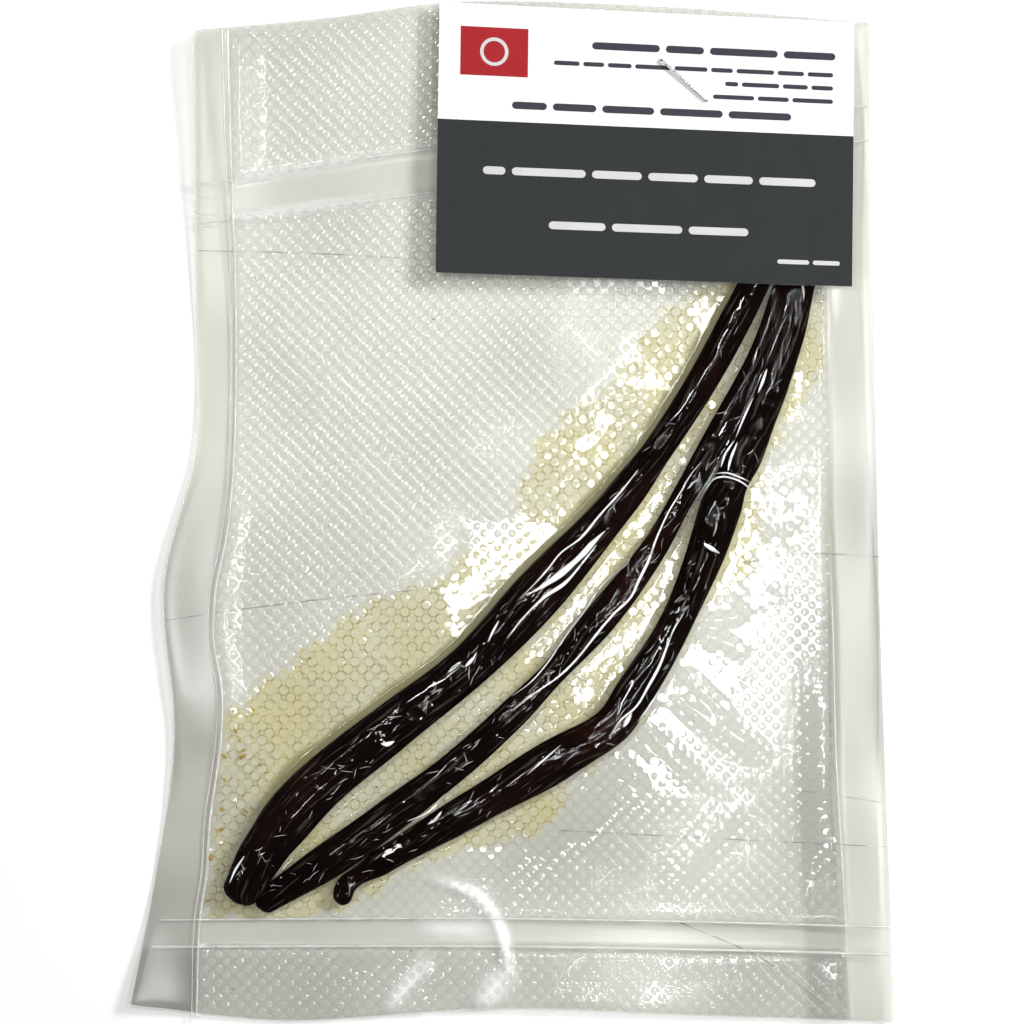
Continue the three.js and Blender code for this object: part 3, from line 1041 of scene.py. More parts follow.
@dataclass
class FilmSheets:
    """The two sheets of the bag, as grids over the same outline.

    Its maps hold, for each point of the grid, a number from 0 to 1 for each thing that the
    sheets' finishes read: weld, oil, band (the stain's smooth strip, its olive partly painted
    shade), the painted glints on the pads' rings near the card, the painted shade (how dark it
    is), the painted highlights (how white), shine and taut (how flat the front sheet is drawn),
    contact (on a pod), wedge (beside one) and drawn (off the pads).
    """

    front_left: Point = (-78.2, -100.9)
    front_right: Point = (78.2, -104.5)
    back_left: Point = (-65.1, 98.4)
    back_right: Point = (73.1, 100.1)
    left_way: Pairs = way(-73.3, -75.6, -69.2, -46, -71.3, -15, -65.1, 12.7, -64.7, 45.6)
    right_way: Pairs = way(76.2, -46.8, 74.9, -1.6, 73.5, 59.9)
    front_way: Pairs = way(-48.2, -104.2, -2.5, -101.8, 38.6, -103.2)
    back_way: Pairs = way(-38.2, 101, -12, 104.27, 26.3, 103.6)
    left_seal: Pairs = way(-64.6, -104, -64.1, -84, -62.6, -73.7, -62, -63.6, -59.7, -46.8,
        -59.5, -36.5, -61.2, -26.3, -60.8, -16, -58.7, -5.7, -57.3, 6.6, -56.7, 23, -56.7, 45.6,
        -57.3, 64.1, -57.9, 84.6, -58.2, 98.6)
    right_seal: Pairs = way(69.2, -104, 68.4, -83.8, 66.5, -50.9, 65.9, -26.3, 65.1, -1.6,
        64.7, 45.6, 65.6, 76, 66, 99)
    front_weld: Pairs = way(-72, -83.7, 0, -83.4, 77, -85)
    front_weld_edge: Pairs = way(-74, -89.2, 0, -89.1, 77.4, -90.6)
    back_weld: Pairs = way(-64.5, 59.2, -22, 64.9, 73.4, 76.2)
    back_weld_edge: Pairs = way(-64.6, 66.8, -22, 73.7, 73.4, 83.3)
    stain: Pairs = way(-58.9, -42.7, -48.7, -32.8, -41.5, -28.3, -31.2, -20.1, -23, -16.4,
        -12.7, -14, -9, -6, 1.6, -5.7, 3, 9.5, 9.9, 18.9, 18.1, 24, 26.3, 35.3, 38.6, 46, 64.3, 45,
        64.3, 33, 62.8, 27, 57.1, 18.9, 53, 12.7, 51, -1.6, 50, -12, 38.6, -20.1, 30.4, -34.5,
        26.3, -42.7, 18.1, -50.9, 9.9, -59.1, 5.7, -67.3, -8.6, -67.3, -16.8, -71.4, -34, -81,
        -48, -84, -61.5, -83.5, -61.5, -60)
    creases: tuple[Crease, ...] = (
        Crease(way(36, -21.5, 42, -22.2, 50, -20.6), 0.32, 1.1),
        Crease(way(36.8, -25, 42, -26, 49, -29.5), 0.34, 1.2),
        Crease(way(32.5, -31, 39, -36.5, 46.5, -44), 0.36, 1.2),
        Crease(way(31.5, -37, 42, -43.5, 55, -52), 0.34, 1.8),
        Crease(way(25.5, -42.5, 31, -48, 40, -56.5), 0.32, 1.4),
        Crease(way(19, -46.5, 23, -51, 28, -58), 0.26, 1.3),
        Crease(way(49, -57, 38, -70, 31, -80), 0.22, 3.0),
        Crease(way(-23, -73, -6, -80.5, -1, -99), 0.03, 2.4),
        Crease(way(-16, -92, -19, -97, -21, -101), 0.25, 1.8),
        Crease(way(60, -82, 63.5, -50, 62, -24), 0.24, 2.6),
    )
    folds: tuple[Crease, ...] = (
        Crease(way(40.6, 6.2, 43, 7.9, 46.5, 6.6, 50, 4), 0.40, 0.5, 0.1),
        Crease(way(-30.5, -46, -26, -47.6, -23.5, -50.5), 0.30, 0.8),
        Crease(way(-57.5, -72.6, -53.5, -75.2, -50.5, -77.6), 0.25, 0.6),
        Crease(way(-24, -65, -21, -67.4, -19.6, -70), 0.30, 0.7),
        Crease(way(36.8, -5, 40.5, -6.4, 43.5, -9), 0.25, 0.7),
    )
    # Painted highlights: white strokes on the front sheet, each a line, a strength, a width and a
    # fade.
    painted_highlights: tuple[Crease, ...] = (
        Crease(way(-20.8, -73.8, -13, -76, -6.8, -78.4, -2.4, -84.5, -0.6, -91.5, 2, -99), 1.9,
            1.2, 0.35),
        Crease(way(-23, -84.6, -11, -85.6, -1, -86.2), 1.0, 2.2, 0.4),
        Crease(way(-27.5, -104.5, -20, -95, -15, -89), 1.3, 2.0, 0.4),
        Crease(way(-8.5, -105, -3.6, -97.5, 0.5, -91), 1.3, 3.0, 0.45),
        Crease(way(-9, -76, -6.5, -80.5, -4.5, -85), 0.5, 3.2, 0.4),
    )
    size: Point = (146.0, 204.0)
    spacing: float = 0.36
    back_height: float = 0.30
    weld_height: float = 0.12
    gap: float = 0.46
    weld_gap: float = 0.08
    edge_gap: float = 0.02
    slack: float = 0.11
    crumple: float = 0.012
    cling: float = 0.10
    suction: float = 5.0
    mass_suction: float = 0.35
    mass_ramps: tuple[Point, Point] = ((5.2, 3.8), (6.2, 4.8))
    settle_rounds: int = 420
    near_pod: float = 3.4
    milk_width: float = 1.3
    seal_ramp: Point = (0.0, 0.8)
    weld_ramp: Point = (-0.4, 0.4)
    stain_ramp: Point = (-0.9, 0.9)
    shine_ramp: Point = (21.0, 9.0)
    band_ramp: Point = (2.6, 1.7)
    contact_ramp: Point = (0.55, 0.15)
    wedge_ramp: Point = (0.15, 0.8)
    rims_ramp: Point = (12.0, 3.0)
    veil_strength: float = 0.5
    stretch_width: float = 2.2
    card_middle: Point = (27.0, 76.0)
    card_half: Point = (42.6, 28.6)
    lift_step: int = 6
    places: Array = field(init=False)
    near: Array = field(init=False)
    back: Array = field(init=False)
    front: Array = field(init=False)
    maps: dict[str, Array] = field(default_factory=dict)

    def outline(self, count: int) -> list[Array]:
        """The left, right, front and back edges as evenly spaced points.

        Args:
            count: how many points each edge has.

        Returns:
            The four edges.
        """
        sides = (
            (self.front_left, *self.left_way, self.back_left),
            (self.front_right, *self.right_way, self.back_right),
            (self.front_left, *self.front_way, self.front_right),
            (self.back_left, *self.back_way, self.back_right),
        )
        return [spline(side, count) for side in sides]

    def patch(self) -> Array:
        """The grid of places over the outline.

        Returns:
            Rows of x and y from front to back, with columns to the right.
        """
        columns, rows = (2 * round(side / self.spacing / 2) + 1 for side in self.size)
        left, right = self.outline(rows)[:2]
        front, back = self.outline(columns)[2:]
        u = np.linspace(0, 1, columns)[None, :, None]
        v = np.linspace(0, 1, rows)[:, None, None]
        edges = (1 - u) * left[:, None] + u * right[:, None] + (1 - v) * front + v * back
        low = (1 - u) * np.array(self.front_left) + u * np.array(self.front_right)
        high = (1 - u) * np.array(self.back_left) + u * np.array(self.back_right)
        return edges - (1 - v) * low - v * high

    def read_lift(self, bag: Object) -> Array:
        """How far the bag curls off the table, read from the frame's own bag.

        Args:
            bag: the frame's bag.

        Returns:
            The height at each place.
        """
        tree = surface_tree(bag)
        some = self.places[:: self.lift_step, :: self.lift_step]
        heights = np.zeros(some.shape[:2])
        for index in np.ndindex(heights.shape):
            x, y = some[index] * MM
            hit = tree.ray_cast(Vector((x, y, -1.0)), Vector((0, 0, 1)))[0]
            hit = hit or tree.find_nearest(Vector((x, y, 0.0)))[0]
            heights[index] = hit.z / MM
        heights = soften(heights, 2)
        for count in self.places.shape[1::-1]:
            at = np.arange(count) / self.lift_step
            heights = np.array([np.interp(at, np.arange(len(row)), row) for row in heights]).T
        return soften(heights, 24)

    def masks(self) -> None:
        """Works out where the sheets are welded and oily, and where shade and highlights are
        painted on them.
        """
        x, y = self.places[..., 0], self.places[..., 1]
        in_left = x - x_at(self.left_seal, y)
        in_right = x_at(self.right_seal, y) - x
        inner = smoothstep(*self.seal_ramp, np.minimum(in_left, in_right))
        weld = 1 - inner
        for low, high in (
            (self.front_weld_edge, self.front_weld), (self.back_weld, self.back_weld_edge)
        ):
            low_y, high_y = (np.interp(x, *np.array(line).T) for line in (low, high))
            above, below = (smoothstep(*self.weld_ramp, gap) for gap in (y - low_y, high_y - y))
            weld = np.maximum(weld, above * below)
        outline = np.array(self.stain)
        gap = np.abs(beside_line(self.places, np.vstack([outline, outline[:1]]))[0])
        depth = np.where(inside_outline(self.places, outline), gap, -gap)
        depth = depth + 1.1 * waves(71, x, y, (4, 11)) + 0.7 * waves(72, x, y, (1.8, 4))
        oil = smoothstep(*self.stain_ramp, depth) * inner
        left_edge, right_edge = smoothstep(0.5, -1.5, in_left), smoothstep(1.0, -1.0, in_right)
        margin = smoothstep(-60, -46, y)
        # Painted shade: darker towards the near end, in the curled margins and at the corners,
        # standing in for the dim surroundings that the film mirrors.
        dim = 0.60 * smoothstep(40, -85, y) * (1 - 0.4 * smoothstep(5, 45, x) * inner)
        dim = dim + 0.30 * smoothstep(-88, -92, y) + 0.10 * left_edge * smoothstep(10, -50, y)
        dim = dim * (1 - 0.9 * right_edge) + 0.2 * smoothstep(3.0, -1.0, in_right)
        dim = dim + 0.10 * waves(14, x, y, (22, 60)) + 0.2 * smoothstep(45, 80, y)
        dim = dim + 0.65 * left_edge * smoothstep(16, -6, y) * margin
        dim = dim + left_edge * (0.4 * smoothstep(-66, -80, y) + smoothstep(-86, -97, y))
        dim = dim + 0.6 * right_edge * smoothstep(18, 2, y) * margin
        middle = smoothstep(-45, -20, x) * smoothstep(48, 25, x) * smoothstep(-72, -84, y)
        beside_seal = smoothstep(9.5, 7.5, in_right) * smoothstep(-12, -24, y) * inner
        dim = dim - 0.35 * middle + 0.55 * beside_seal
        # Near the card the pads' rings get painted glints.
        off_card = np.abs(self.places - self.card_middle) - self.card_half
        # Painted highlights: white strokes along those lines, and bands along the back welds on the
        # left.
        milk = sum(crease.over(self.places) for crease in self.painted_highlights)
        for line in (self.back_weld, self.back_weld_edge):
            away = beside_line(self.places, spline(line, 12))[0] / self.milk_width
            milk = milk + np.exp(-(away**2)) * inner * smoothstep(0, -50, x)
        self.maps.update(
            weld=weld,
            oil=oil,
            veil=np.clip(self.veil_strength * dim * (1 - 0.25 * oil), 0.0, 1.0),
            rims=smoothstep(*self.rims_ramp, off_card.max(axis=-1)) * inner,
            milk=milk,
        )

    def pod_tops(self, pods: list[Object]) -> Array:
        """The top of the pods.

        Args:
            pods: the pods' meshes.

        Returns:
            The height of a pod over each place, or a low number where there is none.
        """
        top = np.full(self.places.shape[:2], NOWHERE)
        for pod in pods:
            vertices = np.array([v.co for v in pod.data.vertices]) / MM
            low, high = vertices.min(0)[:2], vertices.max(0)[:2]
            tree = surface_tree(pod)
            near = np.all((self.places > low) & (self.places < high), axis=-1) & self.near
            for index in zip(*np.nonzero(near)):
                x, y = self.places[index] * MM
                hit = tree.ray_cast(Vector((x, y, OVERHEAD)), Vector((0, 0, -1)))[0]
                if hit is not None:
                    top[index] = max(top[index], hit.z / MM)
        spread = np.maximum.reduce([top, *(np.roll(top, s, a) for s in (1, -1) for a in (0, 1))])
        return np.where(spread > 0, soften(np.maximum(spread, 0), 1), NOWHERE)

    def shape(self, bag: Object, pods: tuple[Pod, ...], skins: list[Object]) -> None:
        """Works out both sheets' heights, and the maps that follow the pods.

        Args:
            bag: the frame's own bag.
            pods: the pods that the front sheet is drawn down over.
            skins: the pods' meshes.
        """
        self.places = self.patch()
        self.masks()
        x, y = self.places[..., 0], self.places[..., 1]
        weld, oil = self.maps["weld"], self.maps["oil"]
        along = [pod.beside(self.places) for pod in pods]
        beyond = np.minimum.reduce([np.abs(gap) - half for gap, _, half in along])
        self.near = beyond < self.near_pod
        reach = beyond + 2.5 * waves(9, x, y, (6, 18))
        shine = smoothstep(*self.shine_ramp, reach) * (1 - weld)
        pulled = shine * smoothstep(0, -3, along[2][0]) * smoothstep(9, 3, y)
        stretched = 0.0
        for crease in self.creases:
            wide = replace(crease, height=1.0, width=self.stretch_width * crease.width)
            stretched = stretched + wide.over(self.places)
        pulled = np.maximum(pulled, stretched)
        # The smooth strip beside the left pod: its olive is partly the oil and partly painted shade
        # beside the pod.
        gap, share, half = along[0]
        away = gap - half + 0.3 * waves(8, x, y, (6, 18))
        band = smoothstep(*self.band_ramp, away) * smoothstep(-0.5, 0.5, gap)
        band = band * smoothstep(0.06, 0.16, share) * smoothstep(0.96, 0.88, share)
        inner = soften(1 - weld, 10)
        slack = 0.5 + 0.5 * waves(5, x, y, (14, 46)) + 0.05 * waves(6, x, y, (5, 9))
        self.back = self.read_lift(bag) + self.weld_height
        self.back = self.back + (self.back_height - self.weld_height) * inner
        rest = self.back + self.weld_gap + (self.gap - self.weld_gap + self.slack * slack) * inner
        rest = rest + inner * sum(crease.over(self.places) for crease in self.creases)
        top = self.pod_tops(skins)
        front = self.settle(np.maximum(rest, top + self.cling), along)
        contact = smoothstep(*self.contact_ramp, front - self.cling - top)
        front = front + (soften(front, 30) - front) * contact
        front = np.maximum(front, top + 0.4 * self.cling)
        for pod, (gap, share, _) in zip(pods, along):
            front = front + contact * pod.film_wrinkles(gap, share)
        crumple = self.crumple * waves(12, x, y, (2.4, 6))
        front = front + contact * (crumple + sum(fold.over(self.places) for fold in self.folds))
        wedge = np.maximum(smoothstep(*self.wedge_ramp, front - rest), band) * (1 - contact)
        self.maps.update(
            shine=shine,
            taut=np.maximum(oil, pulled.clip(0, 1)),
            band=band,
            contact=contact,
            wedge=wedge,
            drawn=np.maximum.reduce([weld, contact, wedge]),
        )
        rows, columns = (np.minimum(np.arange(n), n - 1 - np.arange(n)) for n in x.shape)
        meet = smoothstep(0, 3, np.minimum(rows[:, None], columns[None]).astype(float))
        low = self.back + self.edge_gap
        self.front = low + (front - low) * meet

    def settle(self, held: Array, along: list[tuple[Array, Array, Array]]) -> Array:
        """Draws the front sheet down under the vacuum.

        Args:
            held: the height that the sheet can't fall below.
            along: where each place lies beside each pod.

        Returns:
            The sheet's height.
        """
        ramps = zip(self.mass_ramps, along[1:])
        mass = math.prod(smoothstep(*ramp, np.abs(gap)) for ramp, (gap, _, _) in ramps)
        pull = self.suction + (self.mass_suction - self.suction) * soften(mass, 6)
        pull = pull * self.spacing**2 / 4
        front = held.copy()
        for _ in range(self.settle_rounds):
            front = np.maximum(neighbour_mean(front) - pull, held)
        return front

    def mixed_faces(self) -> tuple[Array, list[list[int]]]:
        """Small cells near the pods and cells twice as wide elsewhere, joined without gaps.

        Returns:
            The numbers of the grid's points that are used, and the faces over those points.
        """
        rows, columns = self.near.shape
        number = np.arange(rows * columns).reshape(rows, columns)
        small = np.zeros((rows // 2, columns // 2), bool)
        for r, c in ((0, 0), (0, 1), (1, 0), (1, 1)):
            small |= self.near[r : r + rows - 1 : 2, c : c + columns - 1 : 2]
        beside = np.pad(small, 1)
        ring = (((0, 0), (0, 1)), ((0, 2), (1, 2)), ((2, 2), (2, 1)), ((2, 0), (1, 0)))
        faces: list[list[int]] = []
        for j, i in np.ndindex(small.shape):
            cell = number[2 * j : 2 * j + 3, 2 * i : 2 * i + 3]
            if small[j, i]:
                for r, c in ((0, 0), (0, 1), (1, 1), (1, 0)):
                    faces.append([cell[r, c], cell[r, c + 1], cell[r + 1, c + 1], cell[r + 1, c]])
                continue
            face = []
            for corner, (r, c) in ring:
                face += [cell[corner], cell[r, c]] if beside[j + r, i + c] else [cell[corner]]
            faces.append(face)
        used = np.unique(np.concatenate([np.array(f) for f in faces]))
        renumber = np.zeros(rows * columns, int)
        renumber[used] = np.arange(len(used))
        return used, [renumber[f].tolist() for f in faces]

    def build_front(self, material: Material) -> Object:
        """Makes the front sheet's mesh.

        Args:
            material: its film.

        Returns:
            The sheet.
        """
        used, faces = self.mixed_faces()
        points = np.dstack([self.places, self.front]).reshape(-1, 3)[used]
        obj = make_mesh("film_front", points, faces, (material,))
        for name in ("weld", "contact", "drawn", "shine", "taut", "milk"):
            add_field(obj, name, self.maps[name].reshape(-1)[used])
        return obj

    def build_back(self, material: Material) -> Object:
        """Makes the back sheet's mesh.

        Args:
            material: its film.

        Returns:
            The sheet.
        """
        places, heights = self.places[::2, ::2], self.back[::2, ::2]
        points = np.dstack([places, heights]).reshape(-1, 3)
        obj = make_mesh("film_back", points, grid_faces(*heights.shape)[:, ::-1], (material,))
        for name in ("weld", "oil", "wedge", "veil", "band", "rims"):
            add_field(obj, name, self.maps[name][::2, ::2])
        return obj


# ---- Beads --------------------------------------------------------------------------------------


def lay(line: Array, sheet: BVHTree, above: float) -> Array:
    """Lays a flat line on a sheet.

    Args:
        line: rows of x and y.
        sheet: the search tree of the sheet.
        above: how far the line lies above the sheet.

    Returns:
        Rows of x, y and z.
    """
    points = []
    for x, y in line:
        hit = sheet.ray_cast(Vector((x * MM, y * MM, OVERHEAD)), Vector((0, 0, -1)))[0]
        hit = hit or sheet.find_nearest(Vector((x * MM, y * MM, 0.0)))[0]
        points.append((x, y, hit.z / MM + above))
    return np.array(points)


@dataclass(frozen=True)
class Bead:
    """A thickened line in the film: a seal's ridge, a wrinkle across it, or the cut edge."""

    way: Pairs
    radius: float
    straight: bool = False
    taper: bool = False

    def path(self, spacing: float) -> Array:
        """The bead's middle line.

        Args:
            spacing: the distance between its points.

        Returns:
            Rows of x and y.
        """
        pts = np.array(self.way, float)
        length = np.linalg.norm(np.diff(pts, axis=0), axis=1).sum()
        count = max(4, round(length / spacing))
        return resample(pts, count) if self.straight else spline(self.way, count)


def beads(
    name: str,
    lines: list[tuple[Array, Array]],
    material: Material,
    sides: int = 8,
    flatness: float = 1.0,
) -> Object:
    """Turns lines into beads, each as thick as its own radii say.

    Args:
        name: the piece's name.
        lines: for each line its points and their radii, in millimetres.
        material: the beads' finish.
        sides: how many sides their section has.
        flatness: the section's height as a share of its width.

    Returns:
        The beads as one mesh.
    """
    points, edges, radii = [], [], []
    for line, radius in lines:
        start = len(points)
        points.extend((np.asarray(line, float) * MM).tolist())
        edges.extend((start + k, start + k + 1) for k in range(len(line) - 1))
        radii.extend(radius * MM)
    mesh = bpy.data.meshes.new("lines")
    mesh.from_pydata(points, edges, [])
    host = link("lines", mesh)
    add_field(host, "bead_radius", np.array(radii))
    tree = GeometryTree(name, {"Sides": sides, "Section": (1, flatness, 1)})
    curve = tree.node("MeshToCurve", {"Mesh": tree.start})
    ring_inputs = {"Resolution": tree.given("Sides"), "Radius": 1.0}
    ring = tree.node("CurvePrimitiveCircle", ring_inputs)
    section = {"Geometry": ring, "Scale": tree.given("Section")}
    flat = tree.node("Transform", section)
    level = tree.node("SetCurveNormal", {"Curve": curve}, mode="Z_UP")
    size = tree.read("bead_radius")
    inputs = {"Curve": level, "Profile Curve": flat, "Scale": size, "Fill Caps": True}
    piece = tree.run(tree.node("CurveToMesh", inputs), material, host, name)
    bpy.data.objects.remove(host)
    bpy.data.meshes.remove(mesh)
    return piece


@dataclass
class Seals:
    """Ridges, wrinkles, white creases and scuffs that lie on the front sheet, and its cut edge; the
    creases' white is painted highlight.
    """

    sheets: FilmSheets
    # The white creases over the pods, each a radius and a line: painted highlights.
    streaks: tuple[tuple[float, Pairs], ...] = (
        (0.24, way(25.7, 8.6, 22.2, 4.1, 18.1, -0.4, 14, -5.3, 9.9, -8.4, 6.8, -12.3, 1.6, -17.7)),
        (0.60, way(19.1, -3.7, 16.4, -6.4, 14, -9, 10.3, -12.3, 6.8, -14.8, 3.3, -16.8)),
        (0.30, way(17.2, -6.8, 14.6, -10.1, 10.9, -14.4, 6.8, -17.2, 2.7, -21.1, -1, -25.7)),
        (0.25, way(38.6, 10.1, 36.5, 7.6, 34.5, 4.1, 32, 0, 29.4, -5.7, 27.9, -9.9, 25.9, -14,
            24.2, -17.5, 20.5, -21.1, 17, -25.3, 12.9, -30.4, 9.2, -33.9, 5.1, -36.7, 0.2, -40.4)),
        (0.20, way(24.8, -7.4, 23.6, -10.5, 20.5, -13.1, 17.7, -16, 15, -20.1, 12.3, -23.6,
            10.3, -26.5, 7, -31.2, 3.7, -34.9, 0, -37.6)),
        (0.24, way(52.1, 29.2, 51.1, 26.3, 50.3, 24.4)),
        (0.20, way(49.3, 23.4, 47.4, 19.3, 45.8, 15.4)),
        (0.26, way(45.4, 14.6, 43.5, 11.7, 42.7, 9.2)),
        (0.34, way(46, 14.2, 44.6, 10.7, 44.1, 8.4)),
        (0.18, way(39.4, 4.1, 41.1, 6.6, 43.1, 7.2, 45.8, 6.6, 48, 5.3, 49.9, 3.1)),
        (0.16, way(41.3, 7.8, 43.7, 8, 45.8, 7.4, 48.5, 6.2)),
        (0.25, way(35.1, -20.7, 33.1, -23.8, 32, -26.5, 30.2, -31.2, 27.9, -35.5, 25.3, -39.8,
            22.2, -42.5, 19.9, -46)),
        (0.45, way(24.4, -41.1, 23.6, -42.5, 22.8, -43.9)),
        (0.60, way(39.2, -6.4, 40.9, -7.6, 42.3, -8.4)),
        (0.20, way(30.4, -36.1, 27.9, -39.8, 25.7, -42.9)),
        (0.14, way(9.9, -47.6, 6.8, -50.3, 3.1, -53.6)),
        (0.32, way(-14.4, -61.2, -15.6, -62.8, -17.2, -63.8)),
        (0.36, way(-26.7, -47.2, -25.5, -47.4, -24, -46.8)),
        (0.26, way(-54.6, -70.2, -56.5, -73.1, -57.7, -75.8)),
        (0.30, way(-7.6, -29.4, -8.6, -30.6, -9.6, -31.6)),
        (0.24, way(-2.7, -22.2, -3.9, -24.4, -4.9, -26.5)),
        (0.14, way(-13.8, -57.7, -17.2, -61.4, -21.4, -63.2)),
    )
    scuff_ways: tuple[Pairs, ...] = (
        way(-65, 53.6, -40, 53, -22.9, 52.1),
        way(-71, -22.2, -59.5, -20.5, -38, -17.8, -14.8, -15.6),
        way(46.8, -10.5, 60, -8.6, 75.5, -9.2),
        way(9.9, -65.3, 40, -66.9, 76.6, -68.6),
        way(59.1, -57.1, 68, -58.3, 75.5, -59.5),
        way(34, -84, 52, -92, 64, -101),
    )
    cross_ridges: Pairs = way(67.3, 6.5, 64.3, 5, 61, 6, 58.4, 4.5)
    hair_seed: int = 19
    hairs: int = 70
    hair: float = 0.036
    hair_place: Point = (1.1, 2.0)
    hair_side: float = 0.38
    hair_turn: float = 0.55
    hair_length: Point = (0.8, 3.2)
    hair_bow: float = 0.3
    hair_size: Point = (0.5, 1.2)
    ridge: float = 0.32
    edge: float = 0.13
    edge_points: int = 90
    scuff: float = 0.07
    uneven: float = 0.25

    def ridges(self) -> list[Bead]:
        """The ridges along the side seals and the welds.

        Returns:
            The ridges' beads.
        """
        sheets = self.sheets
        second = np.array(sheets.left_seal) - (1.1, 0)
        lines = [
            Bead(sheets.left_seal, self.ridge),
            Bead(tuple(map(tuple, second)), 0.6 * self.ridge),
            Bead(sheets.right_seal[:5], 0.6 * self.ridge, taper=True),
            Bead(sheets.front_weld, 0.8 * self.ridge),
            Bead(sheets.front_weld_edge, 1.1 * self.ridge),
            Bead(sheets.back_weld, 0.6 * self.ridge),
            Bead(sheets.back_weld_edge, 0.5 * self.ridge),
        ]
        for y, length in self.cross_ridges:
            line = way(-59.5 - length, y + 0.6, -59.5 - length / 2, y, -59.8, y + 0.3)
            lines.append(Bead(line, 0.8 * self.ridge, taper=True))
        return lines

    def fine_creases(self, pods: tuple[Pod, ...]) -> list[Bead]:
        """Short fine creases of the film over each pod, mostly along it, white with painted
        highlight.

        Args:
            pods: the pods.

        Returns:
            The creases' beads.
        """
        draw = np.random.default_rng(self.hair_seed)
        made = []
        for pod in (pod for pod in pods for _ in range(self.hairs)):
            station = 6 + int((pod.stations - 12) * draw.beta(*self.hair_place))
            along = pod.centre[station + 3] - pod.centre[station - 3]
            along = along / np.linalg.norm(along)
            across = np.array([-along[1], along[0]])
            side = across * pod.widths[station] * draw.uniform(-self.hair_side, self.hair_side)
            middle = pod.centre[station] + side
            turn = draw.normal(0, self.hair_turn)
            half = 0.5 * draw.uniform(*self.hair_length)
            half = half * (math.cos(turn) * along + math.sin(turn) * across)
            bow = across * draw.uniform(-self.hair_bow, self.hair_bow)
            line = (tuple(middle - half), tuple(middle + bow), tuple(middle + half))
            made.append(Bead(line, self.hair * draw.uniform(*self.hair_size), taper=True))
        return made

    def build(
        self, front: Object, back: Object, pods: tuple[Pod, ...], finishes: Finishes
    ) -> list[Object]:
        """Makes the ridges, the creases over the pods, white with painted highlight, the scuffs and
        the cut edge.

        Args:
            front: the front sheet.
            back: the back sheet.
            pods: the pods under the front sheet.
            finishes: the pack's materials.

        Returns:
            The four pieces.
        """
        on_front, on_back = surface_tree(front), surface_tree(back)
        bead = finishes.bead()
        creases = [Bead(line, radius, taper=True) for radius, line in self.streaks]
        creases += self.fine_creases(pods)
        left, right, low, high = self.sheets.outline(self.edge_points)
        loop = np.vstack([low, right[1:], high[::-1][1:], left[::-1][1:]])
        edge = Bead(tuple(map(tuple, loop)), self.edge, straight=True)
        scuffs = [Bead(line, self.scuff) for line in self.scuff_ways]
        pieces = []
        for name, lines, sheet, material, spacing, flatness in (
            ("seal_ridges", self.ridges(), on_front, bead, 1.6, 0.45),
            ("painted_highlight_creases", creases, on_front, finishes.painted_streak(), 0.5, 0.4),
            ("scuffs", scuffs, on_front, finishes.scratch(), 1.0, 0.6),
            ("cut_edge", [edge], on_back, bead, 2.0, 1.0),
        ):
            laid = []
            for line in lines:
                path = line.path(spacing)
                vary = 1 + self.uneven * waves(17, *path.T, (4, 13))
                if line.taper:
                    vary = vary * np.sin(np.linspace(0.15, math.pi - 0.15, len(path)))
                radii = line.radius * vary.clip(0.15, 1.6)
                laid.append((lay(path, sheet, -0.5 * flatness * line.radius), radii))
            pieces.append(beads(name, laid, material, flatness=flatness))
        return pieces


# ---- Pads and specks ----------------------------------------------------------------------------


